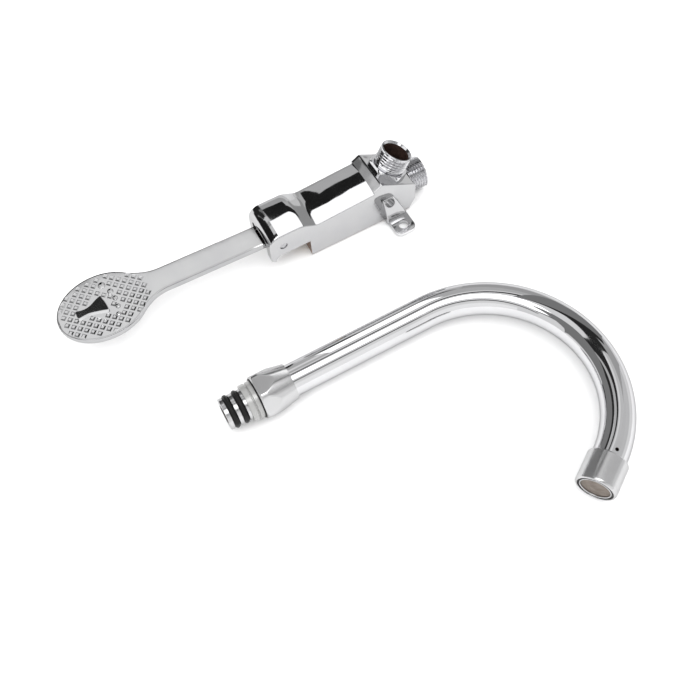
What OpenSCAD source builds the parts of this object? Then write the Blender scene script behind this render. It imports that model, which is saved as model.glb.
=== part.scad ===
// Foot pedal tap valve, with its swan-neck spout lying beside it.
// Millimetres, +Z up, +X from the pedal towards the water inlet.
// The origin is the middle of the valve's base, on the valve's centre plane.

/* [Valve body] */
// Width across the flat sides
body_w = 30; // [28:0.5:36]
// Length of the base that stands on the floor
base_len = 72; // [68:1:80]
// How far the rear face stands out past the base
rear_out = 4.5; // [3:0.5:8]
// Height of the block's top at the waist, on the centre plane
block_top_front = 29.8; // [28:0.2:31]
// Height of the block's top at the facet, on the centre plane
block_top_rear = 32.2; // [31.5:0.1:33]
// Crown of the block's top, from its edge to its middle
block_crown = 2.0; // [1:0.1:4]
// Distance of the facet's lower edge ahead of the ridge
facet_len = 5.5; // [4:0.5:8]
// Length of the sloped port face, measured level
port_face_len = 24.1; // [23:0.5:25]

/* [Hood over the lever] */
// Length of the hood ahead of the block
hood_len = 27.5; // [27:0.5:32]
// Height of the hood's top on the centre plane
hood_top = 36; // [35:0.5:40]
// Crown of the hood's top
hood_crown = 3.5; // [2:0.1:6]
// Height of the lower edge of the hood's sides
hood_low = 14.4; // [13:0.2:16]
// Thickness of the hood's sides
hood_side = 3; // [2:0.1:4]
// Thickness of the hood's front wall
hood_front = 3; // [2:0.1:3.4]
// Thickness of the hood's roof
hood_roof = 4.5; // [3:0.1:5]
// Radius of the hood's upper front edge
hood_nose = 6; // [3:0.5:8]
// Length of the slope from the hood down to the block
waist_len = 9.5; // [6:0.5:14]
// How far the pointed legs of the front wall reach below the sides
leg_drop = 4.2; // [2:0.2:6]

/* [Lever] */
// Distance of the pivot ahead of the block
pivot_ahead = 18; // [17:0.5:19]
// Height of the pivot
pivot_z = 22.6; // [21:0.2:24]
// Diameter of the pivot pin
pin_d = 5; // [4:0.5:6]
// Wall of the bush on the pin
bush_wall = 1; // [0.8:0.1:1.4]
// Diameter of the lever's hub
hub_d = 11.5; // [10.5:0.1:12]
// Width of the arm
arm_w = 16.4; // [12:0.2:18]
// Thickness of the arm
arm_t = 5; // [4:0.2:6]
// Height of the arm's top where it leaves the hood
arm_top = 23.7; // [23:0.1:24.5]
// Length of the oval tread
tread_len = 57; // [50:1:70]
// Width of the oval tread
tread_w = 46; // [38:1:60]
// Thickness of the tread
tread_t = 4.5; // [3.5:0.1:6]
// Height of the tread's top at rest
tread_top = 27.5; // [26:0.5:32]
// Distance from the pivot to the tip of the tread
tread_reach = 143; // [130:1:160]
// Length of the blend between the tread and the arm
neck_len = 19; // [12:1:26]
// Width of the heel that pushes the stem
heel_w = 14; // [10:0.5:18]
// Radius of the heel's round nose
nose_r = 4; // [3:0.2:4.6]
// Distance of the nose's middle behind the pivot
nose_back = 6.2; // [5:0.2:7]

/* [Tread relief] */
// Distance from grip to grip
grip_step = 4.25; // [3.8:0.05:6]
// Width of a grip at its foot, corner to corner
grip_base = 4.9; // [3:0.1:5.2]
// Width of a grip at its top, corner to corner
grip_flat = 2; // [1:0.1:2.6]
// Height of the grips
grip_height = 0.5; // [0.3:0.05:1.2]
// Plain rim around the grips
grip_rim = 2.2; // [1.5:0.1:5]
// Height of the foot sign
sign_height = 1; // [0.5:0.1:1.5]

/* [Water way] */
// Height of the water way's axis
way_z = 11.5; // [11.4:0.1:12.5]
// Diameter of the push stem
stem_d = 6; // [5:0.2:7]
// Diameter of the stem's threaded end
stem_end_d = 4; // [3.4:0.1:4.4]
// Diameter of the gland bush and of the outlet chamber
gland_d = 15; // [14:0.2:16]
// Length of the gland bush in the block
gland_len = 16; // [12:0.5:18]
// Size across the flats of the gland bush's head
gland_af = 19; // [18:0.5:20]
// Thickness of the gland bush's head
gland_head = 2.5; // [2:0.1:3.5]
// Thickness of the ring under the gland bush's head
gland_seal_t = 1; // [0.6:0.1:1.4]
// Section of the stem's rings
stem_ring_d = 2; // [1.6:0.1:2.4]
// Distance of the seat ahead of the base's rear end
seat_ahead = 7.7; // [7.4:0.1:7.8]
// Thickness of the seat
seat_t = 3; // [2.6:0.1:3.2]
// Diameter of the seat's hole
seat_d = 9.6; // [8:0.2:10]
// Diameter of the rubber washer
disc_d = 12.6; // [12:0.1:12.8]
// Thickness of the rubber washer
disc_t = 2.2; // [2:0.1:2.6]
// Wall of the cup that carries the washer
cup_wall = 0.8; // [0.6:0.1:0.9]
// Thickness of the cup's back
cup_back = 1.8; // [1.5:0.1:2.2]
// Size across the flats of the nut on the stem
disc_nut_af = 8; // [7:0.1:8.1]
// Thickness of the nut on the stem
disc_nut_t = 2.8; // [2:0.1:3.4]
// Diameter of the inlet chamber
chamber_d = 16; // [15.8:0.1:16.4]
// Diameter of the inlet nipple's spigot
spigot_d = 18; // [17.4:0.1:18.6]
// Length of the inlet nipple's spigot
spigot_in = 5.3; // [5:0.1:5.6]
// Mean diameter of the return spring
spring_d = 11; // [10.9:0.1:12]
// Wire of the return spring
spring_wire = 1; // [0.8:0.1:1.1]
// Turns of the return spring
spring_turns = 5; // [4:1:6]

/* [Threaded ports] */
// Outside diameter of the port threads
thread_d = 20.955; // [20.9:0.005:21]
// Depth of the port threads
thread_depth = 1.16; // [0.8:0.02:1.2]
// Pitch of the port threads
thread_pitch = 1.814; // [1.5:0.002:2]
// Lean of the outlet port towards the rear, in degrees
outlet_lean = 30; // [26:1:32]
// Distance of the outlet's foot ahead of the rear face
outlet_ahead = 12.2; // [11.5:0.1:13]
// Height of the outlet's foot
outlet_z = 28.7; // [28.2:0.1:29.2]
// Length of the outlet past the sloped face
outlet_len = 15.4; // [14:0.2:20]
// Bore of the outlet's mouth
outlet_bore = 16.8; // [15:0.1:17.4]
// Length of the plain land at the outlet's mouth
outlet_land = 1.6; // [1.4:0.1:2.4]
// Chamfer inside the outlet's mouth
outlet_chamfer = 1.2; // [0.6:0.1:1.3]
// Size across the flats of the outlet's collar
collar_af = 23; // [22:0.5:24]
// Thickness of the outlet's collar
collar_t = 2.6; // [2:0.1:3.4]
// Thickness of the ring under the collar
outlet_seal_t = 0.8; // [0.6:0.1:1.2]
// Bore of the way from the chamber to the outlet
rise_bore = 9.4; // [8:0.2:9.6]
// Depth of the outlet's spigot in the sloped face
outlet_in = 3.5; // [2.5:0.1:4]
// Length of the inlet past the rear face
inlet_len = 13; // [12:0.5:18]
// Bore of the inlet's mouth
inlet_bore = 16.4; // [15:0.1:17.4]
// Thickness of the ring behind the inlet's thread
inlet_seal_t = 0.8; // [0.6:0.1:1.2]
// Thickness of the strainer
strainer_t = 1; // [0.8:0.1:1.5]

/* [Fixing ear] */
// Distance of the ear ahead of the base's rear end
ear_ahead = 11.2; // [10:0.2:14]
// Width of the ear
ear_w = 14; // [13:0.5:16]
// How far the ear stands out of the body's side
ear_out = 17.5; // [16:0.5:24]
// Thickness of the ear
ear_t = 3; // [2:0.2:5]
// Rounding of the ear's corners
ear_round = 4; // [2:0.5:6]
// Diameter of the ear's screw hole
ear_hole_d = 6.5; // [5:0.5:7]
// Distance of the screw hole from the body's side
ear_hole_out = 11.4; // [10.5:0.2:12]
// How far the sloped boss stands out at its foot
boss_out = 5.2; // [4:0.2:6]
// Height of the boss's foot above the base
boss_low = 7.5; // [6:0.5:9]
// Height of the boss's top above the base
boss_high = 20.5; // [19:0.5:23]
// Diameter of the hole in the sloped boss
boss_hole_d = 6.2; // [5:0.2:6.6]
// Depth of the hole in the sloped boss
boss_hole_deep = 4; // [2:0.5:5]
// Distance of the hole from the boss's front edge
boss_hole_in = 4.4; // [4.2:0.1:4.8]
// Width of the boss at its top
boss_top_w = 7.4; // [7:0.2:11]

/* [Spout] */
// Outside diameter of the tube
tube_d = 20; // [19.4:0.1:20.6]
// Wall of the tube
tube_wall = 1; // [0.8:0.1:1.5]
// Radius of the swan neck, to the tube's middle
bend_r = 71; // [60:1:90]
// Turn of the swan neck, in degrees
bend_turn = 147.5; // [140:0.5:155]
// Size that the bend's radii lose when it is drawn
bend_draw = 0.05; // [0.03:0.01:0.08]
// Length by which the straight runs reach over the bend
run_lap = 0.3; // [0.2:0.1:0.5]
// Length of the tube's straight run
tube_run = 106.4; // [100:0.2:160]
// Length of the straight end inside the aerator
tube_end = 7.5; // [6:0.5:9]
// Place of the bend's start, behind the origin
spout_x = -1.6; // [-20:0.2:20]
// Distance of the straight run from the valve's centre plane
spout_off = 96; // [80:1:140]
// Diameter of the vent hole near the aerator
vent_d = 2.2; // [1.5:0.1:3]
// Distance of the vent hole ahead of the bend's end
vent_back = 1.6; // [1.6:0.1:4]
// Lean of the vent hole from the top towards the outside of the bend, in degrees
vent_lean = 12; // [0:1:30]

/* [Spout tail] */
// Diameter of the tail's lands
tail_d = 19.4; // [18.6:0.1:20.5]
// Length of the tail past the tube
tail_out = 27.2; // [27:0.1:32]
// Bore of the tail
tail_bore = 11; // [9:0.5:12]
// Section of the tail's rings
tail_ring_d = 3.2; // [2.8:0.1:3.3]
// Outside diameter of the tail's rings
tail_ring_od = 20.8; // [20.6:0.1:21.4]
// Distance of the first ring from the tail's end
tail_ring_first = 4.2; // [4:0.1:4.4]
// Distance from ring to ring
tail_ring_step = 6; // [5:0.1:6.2]
// Diameter of the pale glide ring
glide_d = 23; // [22.4:0.1:23.4]
// Length of the glide ring
glide_len = 13.3; // [12:0.1:13.5]
// Distance of the glide ring's groove from its end
glide_groove_in = 3.4; // [2:0.2:4]
// Width and depth of the glide ring's groove
glide_groove = 0.9; // [0.6:0.1:1.2]
// Thickness of the black ring in the nut's mouth
nut_seal_t = 2.2; // [1.5:0.1:3]
// Outside diameter of the black ring
nut_seal_d = 24.9; // [24.8:0.1:25.2]

/* [Coupling nut] */
// Length of the nut
nut_len = 21.5; // [18:0.5:26]
// How far the nut reaches over the glide ring
nut_over = 6; // [5:0.2:7]
// Size across the flats
nut_af = 26.4; // [26.2:0.1:29]
// Diameter of the nut over its corners at the mouth
nut_mouth_d = 29; // [28.4:0.2:32]
// Diameter of the nut's small end
nut_small_d = 22.4; // [22.2:0.1:24]
// Length of the parallel part at the mouth
nut_band = 5; // [3:0.5:8]

/* [Aerator] */
// Outside diameter of the housing
aerator_d = 23.6; // [22.4:0.1:25]
// Length of the housing
aerator_len = 19.4; // [18:0.2:24]
// Distance of the housing from the end of the bend
aerator_start = 1.5; // [1:0.1:3]
// Width of the lip that holds the insert
aerator_lip = 1.2; // [0.8:0.1:1.6]
// Thickness of the washer
aerator_washer_t = 2; // [1.5:0.1:2.5]
// Thickness of the mesh
screen_t = 0.6; // [0.4:0.1:1]

/* [Clearances] */
// Radial clearance of pieces fixed into each other
fit = 0.02; // [0.01:0.01:0.05]
// Radial clearance of pieces that run in each other
run = 0.05; // [0.03:0.01:0.09]
// Room between pieces that move past each other
room = 0.3; // [0.25:0.01:0.4]
// Gap of the closed washer at its seat
closed_gap = 0.05; // [0.02:0.01:0.1]

/* [Hidden] */
$fn = 96;
chrome = "gainsboro";
brass = "goldenrod";
black = "dimgray";
pale = "whitesmoke";

// Places along the valve
half_w = body_w / 2;
front_x = -base_len / 2;
rear_x = base_len / 2 + rear_out;
hood_x = front_x - hood_len;
outlet_x = rear_x - outlet_ahead;
ear_x = base_len / 2 - ear_ahead;
pivot_x = front_x - pivot_ahead;
port_slope = tan(outlet_lean);
ridge_x = rear_x - port_face_len;
function port_z(x) = outlet_z + (outlet_x - x) * port_slope;
ridge_z = port_z(ridge_x);
facet_x = ridge_x - facet_len;
pocket_half = half_w - hood_side;
pocket_top = hood_top - hood_roof;
slot_half = arm_w / 2 + 1;
slot_top = arm_top + 2.8;
cover = 60;

// Places along the water way
seat_x = base_len / 2 - seat_ahead;
disc_x = seat_x + seat_t + closed_gap;
cup_x = disc_x + disc_t;
cup_end_x = cup_x + cup_back;
nipple_x = rear_x - spigot_in;
port_end_x = rear_x + inlet_len;
strainer_x = port_end_x - 5;
shelf_t = 2;
shelf_x = strainer_x - shelf_t;
gland_x = front_x + gland_len;
nose_x = pivot_x + nose_back;
stem_x = nose_x + nose_r + room;
stem_end_x = cup_end_x + disc_nut_t + 1;
gland_face_x = front_x - gland_seal_t;
chamber_r = gland_d / 2;

// Places along the spout
spout_z = nut_af / 2;
tube_r = tube_d / 2;
tail_end = tube_run + tail_out;
glide_start = tube_run + 0.1;
nut_mouth_s = tube_run + nut_over;
seal_show = 0.6;
heading = -bend_turn;
mouth_s = aerator_start + aerator_len;
washer_s = tube_end + room;
insert_s = washer_s + aerator_washer_t;
screen_s = mouth_s - aerator_lip - screen_t;
insert_r = tube_r - 0.4;
mouth_r = insert_r - aerator_lip;

// Turned parts: radius against height, put along X or along the outlet's axis
module along_x(x, y = 0, z = 0) translate([x, y, z]) rotate([0, 90, 0]) children();
module on_outlet() translate([outlet_x, 0, outlet_z]) rotate([0, outlet_lean, 0]) children();
module on_spout(s) along_x(spout_x - s, -spout_off, spout_z) children();
module at_mouth() translate([spout_x, -spout_off, spout_z]) on_bend_end() children();
module side_plate(w) rotate([90, 0, 0]) linear_extrude(w, center = true) children();
module tube(outer, inner, h) difference() {
    cylinder(r = outer, h = h);
    translate([0, 0, -1]) cylinder(r = inner, h = h + 2);
}
module hex(af, h) cylinder(d = af / cos(30), h = h, $fn = 6);
module ring(mid_r, wire_r) rotate_extrude() translate([mid_r, 0]) circle(wire_r);

// A threaded stub: parallel ridges with flat crests, from the shoulder to the end
function ridge_count(len) = floor(len / thread_pitch);
module threaded_stub(len, bore) {
    crest = thread_d / 2;
    root = crest - thread_depth;
    n = ridge_count(len);
    start = len - n * thread_pitch;
    p = thread_pitch;
    teeth = [for (i = [0 : n - 1]) each [
        [root, start + i * p], [crest, start + (i + 0.35) * p],
        [crest, start + (i + 0.65) * p], [root, start + (i + 1) * p]]];
    rotate_extrude() polygon(concat([[bore / 2, 0], [root, 0]], teeth, [[bore / 2, len]]));
}

// A part cylinder whose top is the crown of a surface that is w wide
function crown_r(w, rise) = (w * w / 4 + rise * rise) / (2 * rise);
module crown(x, z, len, tilt, rise) {
    r = crown_r(body_w, rise);
    translate([x, 0, z]) rotate([0, -tilt, 0]) translate([-len / 4, 0, -r])
        rotate([0, 90, 0]) cylinder(r = r, h = len, $fn = 256);
}

module hood_outline() {
    inner_x = front_x + waist_len;
    polygon([
        [hood_x, hood_low], [hood_x, hood_top - hood_nose], [hood_x + hood_nose, hood_top],
        [front_x - 2, hood_top], [inner_x, block_top_front - block_crown],
        [inner_x, hood_low]
    ]);
    translate([hood_x + hood_nose, hood_top - hood_nose]) circle(hood_nose);
}

module leg_outline() {
    tip = hood_low - leg_drop;
    difference() {
        polygon([
            [hood_x, hood_low + 2], [hood_x, hood_low - leg_drop / 2], [hood_x + 2, tip],
            [hood_x + 3, tip], [hood_x + 3 + leg_drop, hood_low], [hood_x + 3 + leg_drop, hood_low + 2]
        ]);
        translate([hood_x + 3 + leg_drop, tip]) circle(leg_drop);
    }
}

module block_outline() {
    polygon([
        [front_x, 0], [base_len / 2, 0], [rear_x, 8],
        [rear_x, port_z(rear_x)],
        [ridge_x, ridge_z], [facet_x, block_top_rear], [front_x, block_top_front]
    ]);
}

module rear_outline() {
    polygon([[seat_x, 0], [rear_x, 0], [rear_x, port_z(rear_x)], [seat_x, port_z(seat_x)]]);
}

module ear_plate() {
    x0 = ear_x - ear_w / 2;
    y0 = -half_w - ear_out;
    linear_extrude(ear_t) {
        translate([x0, y0 + ear_round]) square([ear_w, ear_out - ear_round + 3]);
        translate([x0 + ear_round, y0]) square([ear_w - 2 * ear_round, ear_round + 1]);
        for (side = [x0 + ear_round, x0 + ear_w - ear_round])
            translate([side, y0 + ear_round]) circle(ear_round);
    }
}

// The sloped boss, drawn in Y and Z and run along X, and narrower at its top
boss_w = ear_w - 1;
boss_x = ear_x - ear_w / 2 - 1;
boss_tilt = atan((boss_high - boss_low) / boss_out);
module ear_boss() intersection() {
    translate([boss_x, 0, 0]) rotate([90, 0, 90]) linear_extrude(boss_w)
        polygon([[-half_w + 3, 0], [-half_w - boss_out, 0], [-half_w - boss_out, boss_low],
            [-half_w, boss_high], [-half_w + 3, boss_high]]);
    side_plate(2 * cover) polygon([
        [boss_x, 0], [boss_x + boss_w, 0], [boss_x + boss_w, boss_low],
        [boss_x + boss_top_w, boss_high], [boss_x, boss_high]]);
}
module on_boss() {
    up = 0.7;
    translate([boss_x + boss_hole_in, -half_w - boss_out * (1 - up), boss_low + (boss_high - boss_low) * up])
        rotate([boss_tilt, 0, 0])
            children();
}

module valve_body() color(chrome) difference() {
    union() {
        difference() {
            union() {
                intersection() {
                    side_plate(body_w) hood_outline();
                    crown(hood_x, hood_top, cover * 2, 0, hood_crown);
                }
                side_plate(body_w) leg_outline();
            }
            side_plate(2 * pocket_half) polygon([
                [hood_x + hood_front, 0], [hood_x + hood_front, pocket_top],
                [front_x, pocket_top], [front_x, 0]]);
            translate([hood_x - 1, -slot_half, 0]) cube([hood_front + 2, 2 * slot_half, slot_top]);
        }
        intersection() {
            side_plate(body_w) block_outline();
            union() {
                crown(front_x, block_top_front, cover * 3,
                    atan((block_top_rear - block_top_front) / (facet_x - front_x)), block_crown);
                translate([facet_x, -half_w, 0]) cube([cover, body_w, cover]);
            }
        }
        intersection() {
            along_x(seat_x, 0, way_z) cylinder(r = way_z - 0.3, h = rear_x - seat_x);
            side_plate(body_w) rear_outline();
        }
        ear_plate();
        ear_boss();
    }
    translate([pivot_x, 0, pivot_z]) rotate([90, 0, 0])
        cylinder(d = pin_d + 2 * fit, h = cover, center = true);
    along_x(front_x - 1, 0, way_z) cylinder(r = chamber_r + fit, h = seat_x + seat_t - front_x + 1);
    along_x(seat_x + seat_t, 0, way_z) cylinder(d = chamber_d, h = cover);
    along_x(nipple_x - 0.2, 0, way_z) cylinder(d = spigot_d + 2 * fit, h = cover);
    on_outlet() translate([0, 0, -outlet_drop]) cylinder(d = rise_bore, h = outlet_drop + 1);
    on_outlet() translate([0, 0, -outlet_in - 0.3]) cylinder(r = outlet_spigot_r + fit, h = outlet_in + 1);
    translate([ear_x, -half_w - ear_hole_out, -1]) cylinder(d = ear_hole_d, h = ear_t + 2);
    on_boss() translate([0, 0, -boss_hole_deep]) cylinder(d = boss_hole_d, h = boss_hole_deep + cover);
}

// The outlet's spigot and the way down to the chamber
outlet_spigot_r = rise_bore / 2 + 2.3;
outlet_seal_r = outlet_spigot_r + 2.4;
outlet_drop = (outlet_z - way_z) / cos(outlet_lean);

module arm_outline() {
    tread_back = pivot_x - tread_reach + tread_len;
    inner = tread_back - 8;
    polygon([
        [pivot_x, arm_top - 0.3], [hood_x, arm_top], [tread_back, tread_top], [inner, tread_top],
        [inner, tread_top - tread_t], [tread_back, tread_top - arm_t], [hood_x, arm_top - arm_t],
        [pivot_x, arm_top - arm_t]
    ]);
}

module tread_outline() {
    a = tread_len / 2;
    b = tread_w / 2;
    n = 96;
    polygon([for (i = [0 : n - 1]) [a * cos(i * 360 / n), b * sin(i * 360 / n)]]);
}

// The blend from the tread to the arm, from the tread's middle
module neck_outline() {
    half = arm_w / 2;
    x0 = tread_len / 2 * cos(42);
    y0 = tread_w / 2 * sin(42);
    n = 8;
    edge = [for (i = [0 : n]) [x0 + neck_len * i / n, half + (y0 - half) * pow(1 - i / n, 2)]];
    polygon(concat(edge, [for (i = [n : -1 : 0]) [edge[i][0], -edge[i][1]]]));
}

// The foot sign from the middle of the tread: its sole, its toes with their radius,
// and the discs that it keeps free of grips
sole_points = [
    [-16.3, 0.2], [-15.8, -2.7], [-12.5, -2.6], [-8.7, -2.6], [-3.5, -4.1], [-0.5, -5.1], [2.3, -5.9],
    [2.6, -2.5], [2.4, 0.8], [1.9, 3.8], [1.4, 6.4], [-1.7, 5.5], [-5.3, 3.5], [-8, 2.5], [-10.6, 2.2],
    [-13.3, 2.6], [-15.7, 3.2]
];
toes = [[4.9, 13.3, 2.3], [7.9, 6.6, 1.9], [8.7, 0.6, 1.7], [8.1, -5.6, 1.6], [6.2, -10.9, 1.5]];
sole_discs = [
    [-15.1, 0.8, 4.4], [-11, 0.5, 4.3], [-7, 0.5, 4.5], [-3, 0.8, 5.8], [0.9, 3.4, 5.3], [1.1, -2, 4.8]
];
keep_free = concat(sole_discs, [for (t = toes) [t[0], t[1], t[2] + 1.7]]);
function on_tread(p) = norm([p[0] / (tread_len / 2 - grip_rim), p[1] / (tread_w / 2 - grip_rim)]) < 1;
function is_free(p) = min([for (c = keep_free) norm([p[0] - c[0], p[1] - c[1]]) - c[2]]) > 0;
grip_run = grip_step / sqrt(2);
grip_rows = ceil(tread_len / grip_step);
function grip_point(i, j) = [9.5 + grip_run * (i + j), 18.2 + grip_run * (j - i)];
module tread_relief() {
    sunk = 0.2;
    for (i = [-grip_rows : grip_rows], j = [-grip_rows : grip_rows]) {
        p = grip_point(i, j);
        if (on_tread(p) && is_free(p))
            translate([p[0], p[1], -sunk])
                cylinder(d1 = grip_base, d2 = grip_flat, h = grip_height + sunk, $fn = 4);
    }
    translate([0, 0, -sunk]) linear_extrude(sign_height + sunk) polygon(sole_points);
    for (t = toes)
        translate([t[0], t[1], -sunk]) cylinder(r1 = t[2], r2 = t[2] * 0.55, h = sign_height + sunk);
}

module heel_outline() {
    polygon([
        [pivot_x - hub_d / 2 + 1, pivot_z], [pivot_x + hub_d / 2 - 0.5, pivot_z],
        [nose_x + nose_r, way_z], [nose_x - nose_r, way_z]
    ]);
    translate([nose_x, way_z]) circle(nose_r);
}

module pedal_lever() color(chrome) difference() {
    hub_w = 2 * (pocket_half - 1);
    tread_x = pivot_x - tread_reach + tread_len / 2;
    union() {
        side_plate(arm_w) arm_outline();
        intersection() {
            side_plate(tread_w) arm_outline();
            translate([tread_x, 0, 0]) linear_extrude(cover) neck_outline();
        }
        side_plate(heel_w) heel_outline();
        translate([pivot_x, 0, pivot_z]) rotate([90, 0, 0]) cylinder(d = hub_d, h = hub_w, center = true);
        translate([tread_x, 0, tread_top - tread_t]) linear_extrude(tread_t) tread_outline();
        translate([tread_x, 0, tread_top]) tread_relief();
    }
    translate([pivot_x, 0, pivot_z]) rotate([90, 0, 0])
        cylinder(d = pin_d + 2 * (run + bush_wall + fit), h = cover, center = true);
}

module pivot_pin() color("silver") translate([pivot_x, 0, pivot_z]) rotate([90, 0, 0])
    cylinder(d = pin_d, h = body_w - 1, center = true);

module lever_bush() color(pale) translate([pivot_x, 0, pivot_z]) rotate([90, 0, 0])
    translate([0, 0, 1 - pocket_half])
        tube(pin_d / 2 + run + bush_wall, pin_d / 2 + run, 2 * (pocket_half - 1));

module push_stem() color(brass) {
    along_x(stem_x, 0, way_z) cylinder(d = stem_d, h = disc_x - stem_x);
    along_x(stem_x, 0, way_z) cylinder(d = stem_end_d, h = stem_end_x - stem_x);
}

// Stations of the stem's two rings inside the gland bush
stem_ring_x = [front_x + gland_len * 0.45, front_x + gland_len * 0.75];
module gland_bush() color(brass) difference() {
    union() {
        along_x(gland_face_x - gland_head, 0, way_z) hex(gland_af, gland_head);
        along_x(gland_face_x - 0.5, 0, way_z) cylinder(d = gland_d, h = gland_x - gland_face_x + 0.5);
    }
    along_x(gland_face_x - gland_head - 1, 0, way_z) cylinder(d = stem_d + 2 * run, h = cover);
    for (x = stem_ring_x)
        along_x(x - stem_ring_d * 0.6, 0, way_z)
            cylinder(d = stem_d + 2 * run + 2 * stem_ring_d + 0.1, h = stem_ring_d * 1.2);
}

module gland_seal() color(black) along_x(gland_face_x + fit, 0, way_z)
    tube(gland_af / 2 - 0.3, chamber_r + 0.1, gland_seal_t - 2 * fit);

module stem_o_rings() color(black) for (x = stem_ring_x)
    along_x(x, 0, way_z) ring(stem_d / 2 + run + stem_ring_d / 2, stem_ring_d / 2);

module valve_seat() color(brass) along_x(seat_x, 0, way_z) tube(chamber_r, seat_d / 2, seat_t);

module valve_disc() color(black) along_x(disc_x, 0, way_z) tube(disc_d / 2, stem_end_d / 2 + fit, disc_t);

module disc_holder() color(brass) difference() {
    along_x(disc_x + disc_t / 2, 0, way_z)
        cylinder(d = disc_d + 2 * (cup_wall + fit), h = disc_t / 2 + cup_back);
    along_x(disc_x, 0, way_z) cylinder(d = disc_d + 2 * fit, h = disc_t);
    along_x(disc_x, 0, way_z) cylinder(d = stem_end_d + 2 * fit, h = cover);
}

module disc_nut() color(brass) difference() {
    along_x(cup_end_x, 0, way_z) hex(disc_nut_af, disc_nut_t);
    along_x(cup_end_x - 1, 0, way_z) cylinder(d = stem_end_d + 2 * fit, h = disc_nut_t + 2);
}

// One unbroken wire, six-sided, with a ring of points every eighth of a turn
spring_len = shelf_x - cup_end_x - 2 * room;
spring_rings = 8 * spring_turns;
function coil_point(k) = let (a = k * 45, w = spring_wire / 2)
    [cup_end_x + room + w + (spring_len - 2 * w) * k / spring_rings,
        spring_d / 2 * cos(a), way_z + spring_d / 2 * sin(a)];
function coil_ring(k) = let (a = k * 45, c = coil_point(k))
    [for (j = [0 : 5]) c + spring_wire / 2 * [sin(j * 60), cos(j * 60) * cos(a), cos(j * 60) * sin(a)]];
module return_spring() color("silver") {
    points = [for (k = [0 : spring_rings]) each coil_ring(k)];
    last = 6 * spring_rings;
    sides = [for (k = [0 : spring_rings - 1], j = [0 : 5]) each [
        [6 * k + j, 6 * k + (j + 1) % 6, 6 * k + 6 + j],
        [6 * k + (j + 1) % 6, 6 * k + 6 + (j + 1) % 6, 6 * k + 6 + j]]];
    start = [for (j = [1 : 4]) [0, j + 1, j]];
    finish = [for (j = [1 : 4]) [last, last + j, last + j + 1]];
    polyhedron(points, concat(sides, start, finish));
}

module inlet_nipple() color(chrome) difference() {
    union() {
        along_x(nipple_x, 0, way_z) cylinder(d = spigot_d, h = rear_x + 2 - nipple_x);
        along_x(rear_x + inlet_seal_t, 0, way_z) threaded_stub(inlet_len - inlet_seal_t, 2);
    }
    along_x(nipple_x - 1, 0, way_z) cylinder(d = spigot_d - 2.8, h = shelf_x - nipple_x + 1);
    along_x(nipple_x, 0, way_z) cylinder(d = seat_d, h = cover);
    along_x(strainer_x, 0, way_z) cylinder(d = inlet_bore, h = cover);
}

module inlet_seal() color(black) along_x(rear_x + fit, 0, way_z)
    tube(thread_d / 2 - 0.2, spigot_d / 2 + fit, inlet_seal_t - 2 * fit);

module inlet_strainer() color("silver") difference() {
    along_x(strainer_x, 0, way_z) cylinder(d = inlet_bore - 2 * fit, h = strainer_t);
    for (row = [1 : 3], i = [0 : 6 * row - 1])
        along_x(strainer_x - 1, 2 * row * cos(i * 60 / row), way_z + 2 * row * sin(i * 60 / row))
            cylinder(d = 1, h = strainer_t + 2, $fn = 16);
}

module outlet_nipple() color(chrome) on_outlet() difference() {
    union() {
        translate([0, 0, fit]) intersection() {
            hex(collar_af, outlet_seal_t + collar_t - fit);
            cylinder(d1 = collar_af * 1.13, d2 = collar_af * 1.03, h = outlet_seal_t + collar_t - fit);
        }
        translate([0, 0, -outlet_in]) cylinder(r = outlet_spigot_r, h = outlet_in + collar_t);
        translate([0, 0, outlet_seal_t + collar_t])
            threaded_stub(outlet_len - outlet_land - outlet_seal_t - collar_t, 2);
        translate([0, 0, outlet_len - outlet_land]) cylinder(d = thread_d - 0.4, h = outlet_land);
    }
    translate([0, 0, -outlet_in - 1]) cylinder(d = rise_bore, h = cover);
    translate([0, 0, outlet_seal_t + 1.4]) cylinder(d = outlet_bore, h = cover);
    translate([0, 0, outlet_len - outlet_chamfer])
        cylinder(d1 = outlet_bore, d2 = outlet_bore + 4 * outlet_chamfer, h = 2 * outlet_chamfer);
    tube(outlet_seal_r + fit, outlet_spigot_r, outlet_seal_t);
}

module outlet_seal() color(black) on_outlet() translate([0, 0, fit])
    tube(outlet_seal_r, outlet_spigot_r + fit, outlet_seal_t - 2 * fit);

module bend_solid(r) translate([0, -bend_r, 0]) rotate([0, 0, heading + 90])
    rotate_extrude(angle = bend_turn) translate([bend_r, 0]) circle(r);
module on_bend_end() translate([0, -bend_r, 0]) rotate([0, 0, heading + 90])
    translate([bend_r, 0, 0]) rotate([90, 0, 0]) children();
module vent() on_bend_end() translate([0, 0, -vent_back]) rotate([0, 0, -vent_lean])
    rotate([-90, 0, 0]) cylinder(d = vent_d, h = tube_d);
module spout_tube() color(chrome) translate([spout_x, -spout_off, spout_z]) {
    bore_r = tube_r - tube_wall;
    difference() {
        union() {
            difference() {
                bend_solid(tube_r - bend_draw);
                bend_solid(bore_r - bend_draw);
            }
            along_x(-tube_run) tube(tube_r, bore_r, tube_run + run_lap);
            on_bend_end() translate([0, 0, -run_lap]) tube(tube_r, bore_r, tube_end + run_lap);
        }
        vent();
    }
}

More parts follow.
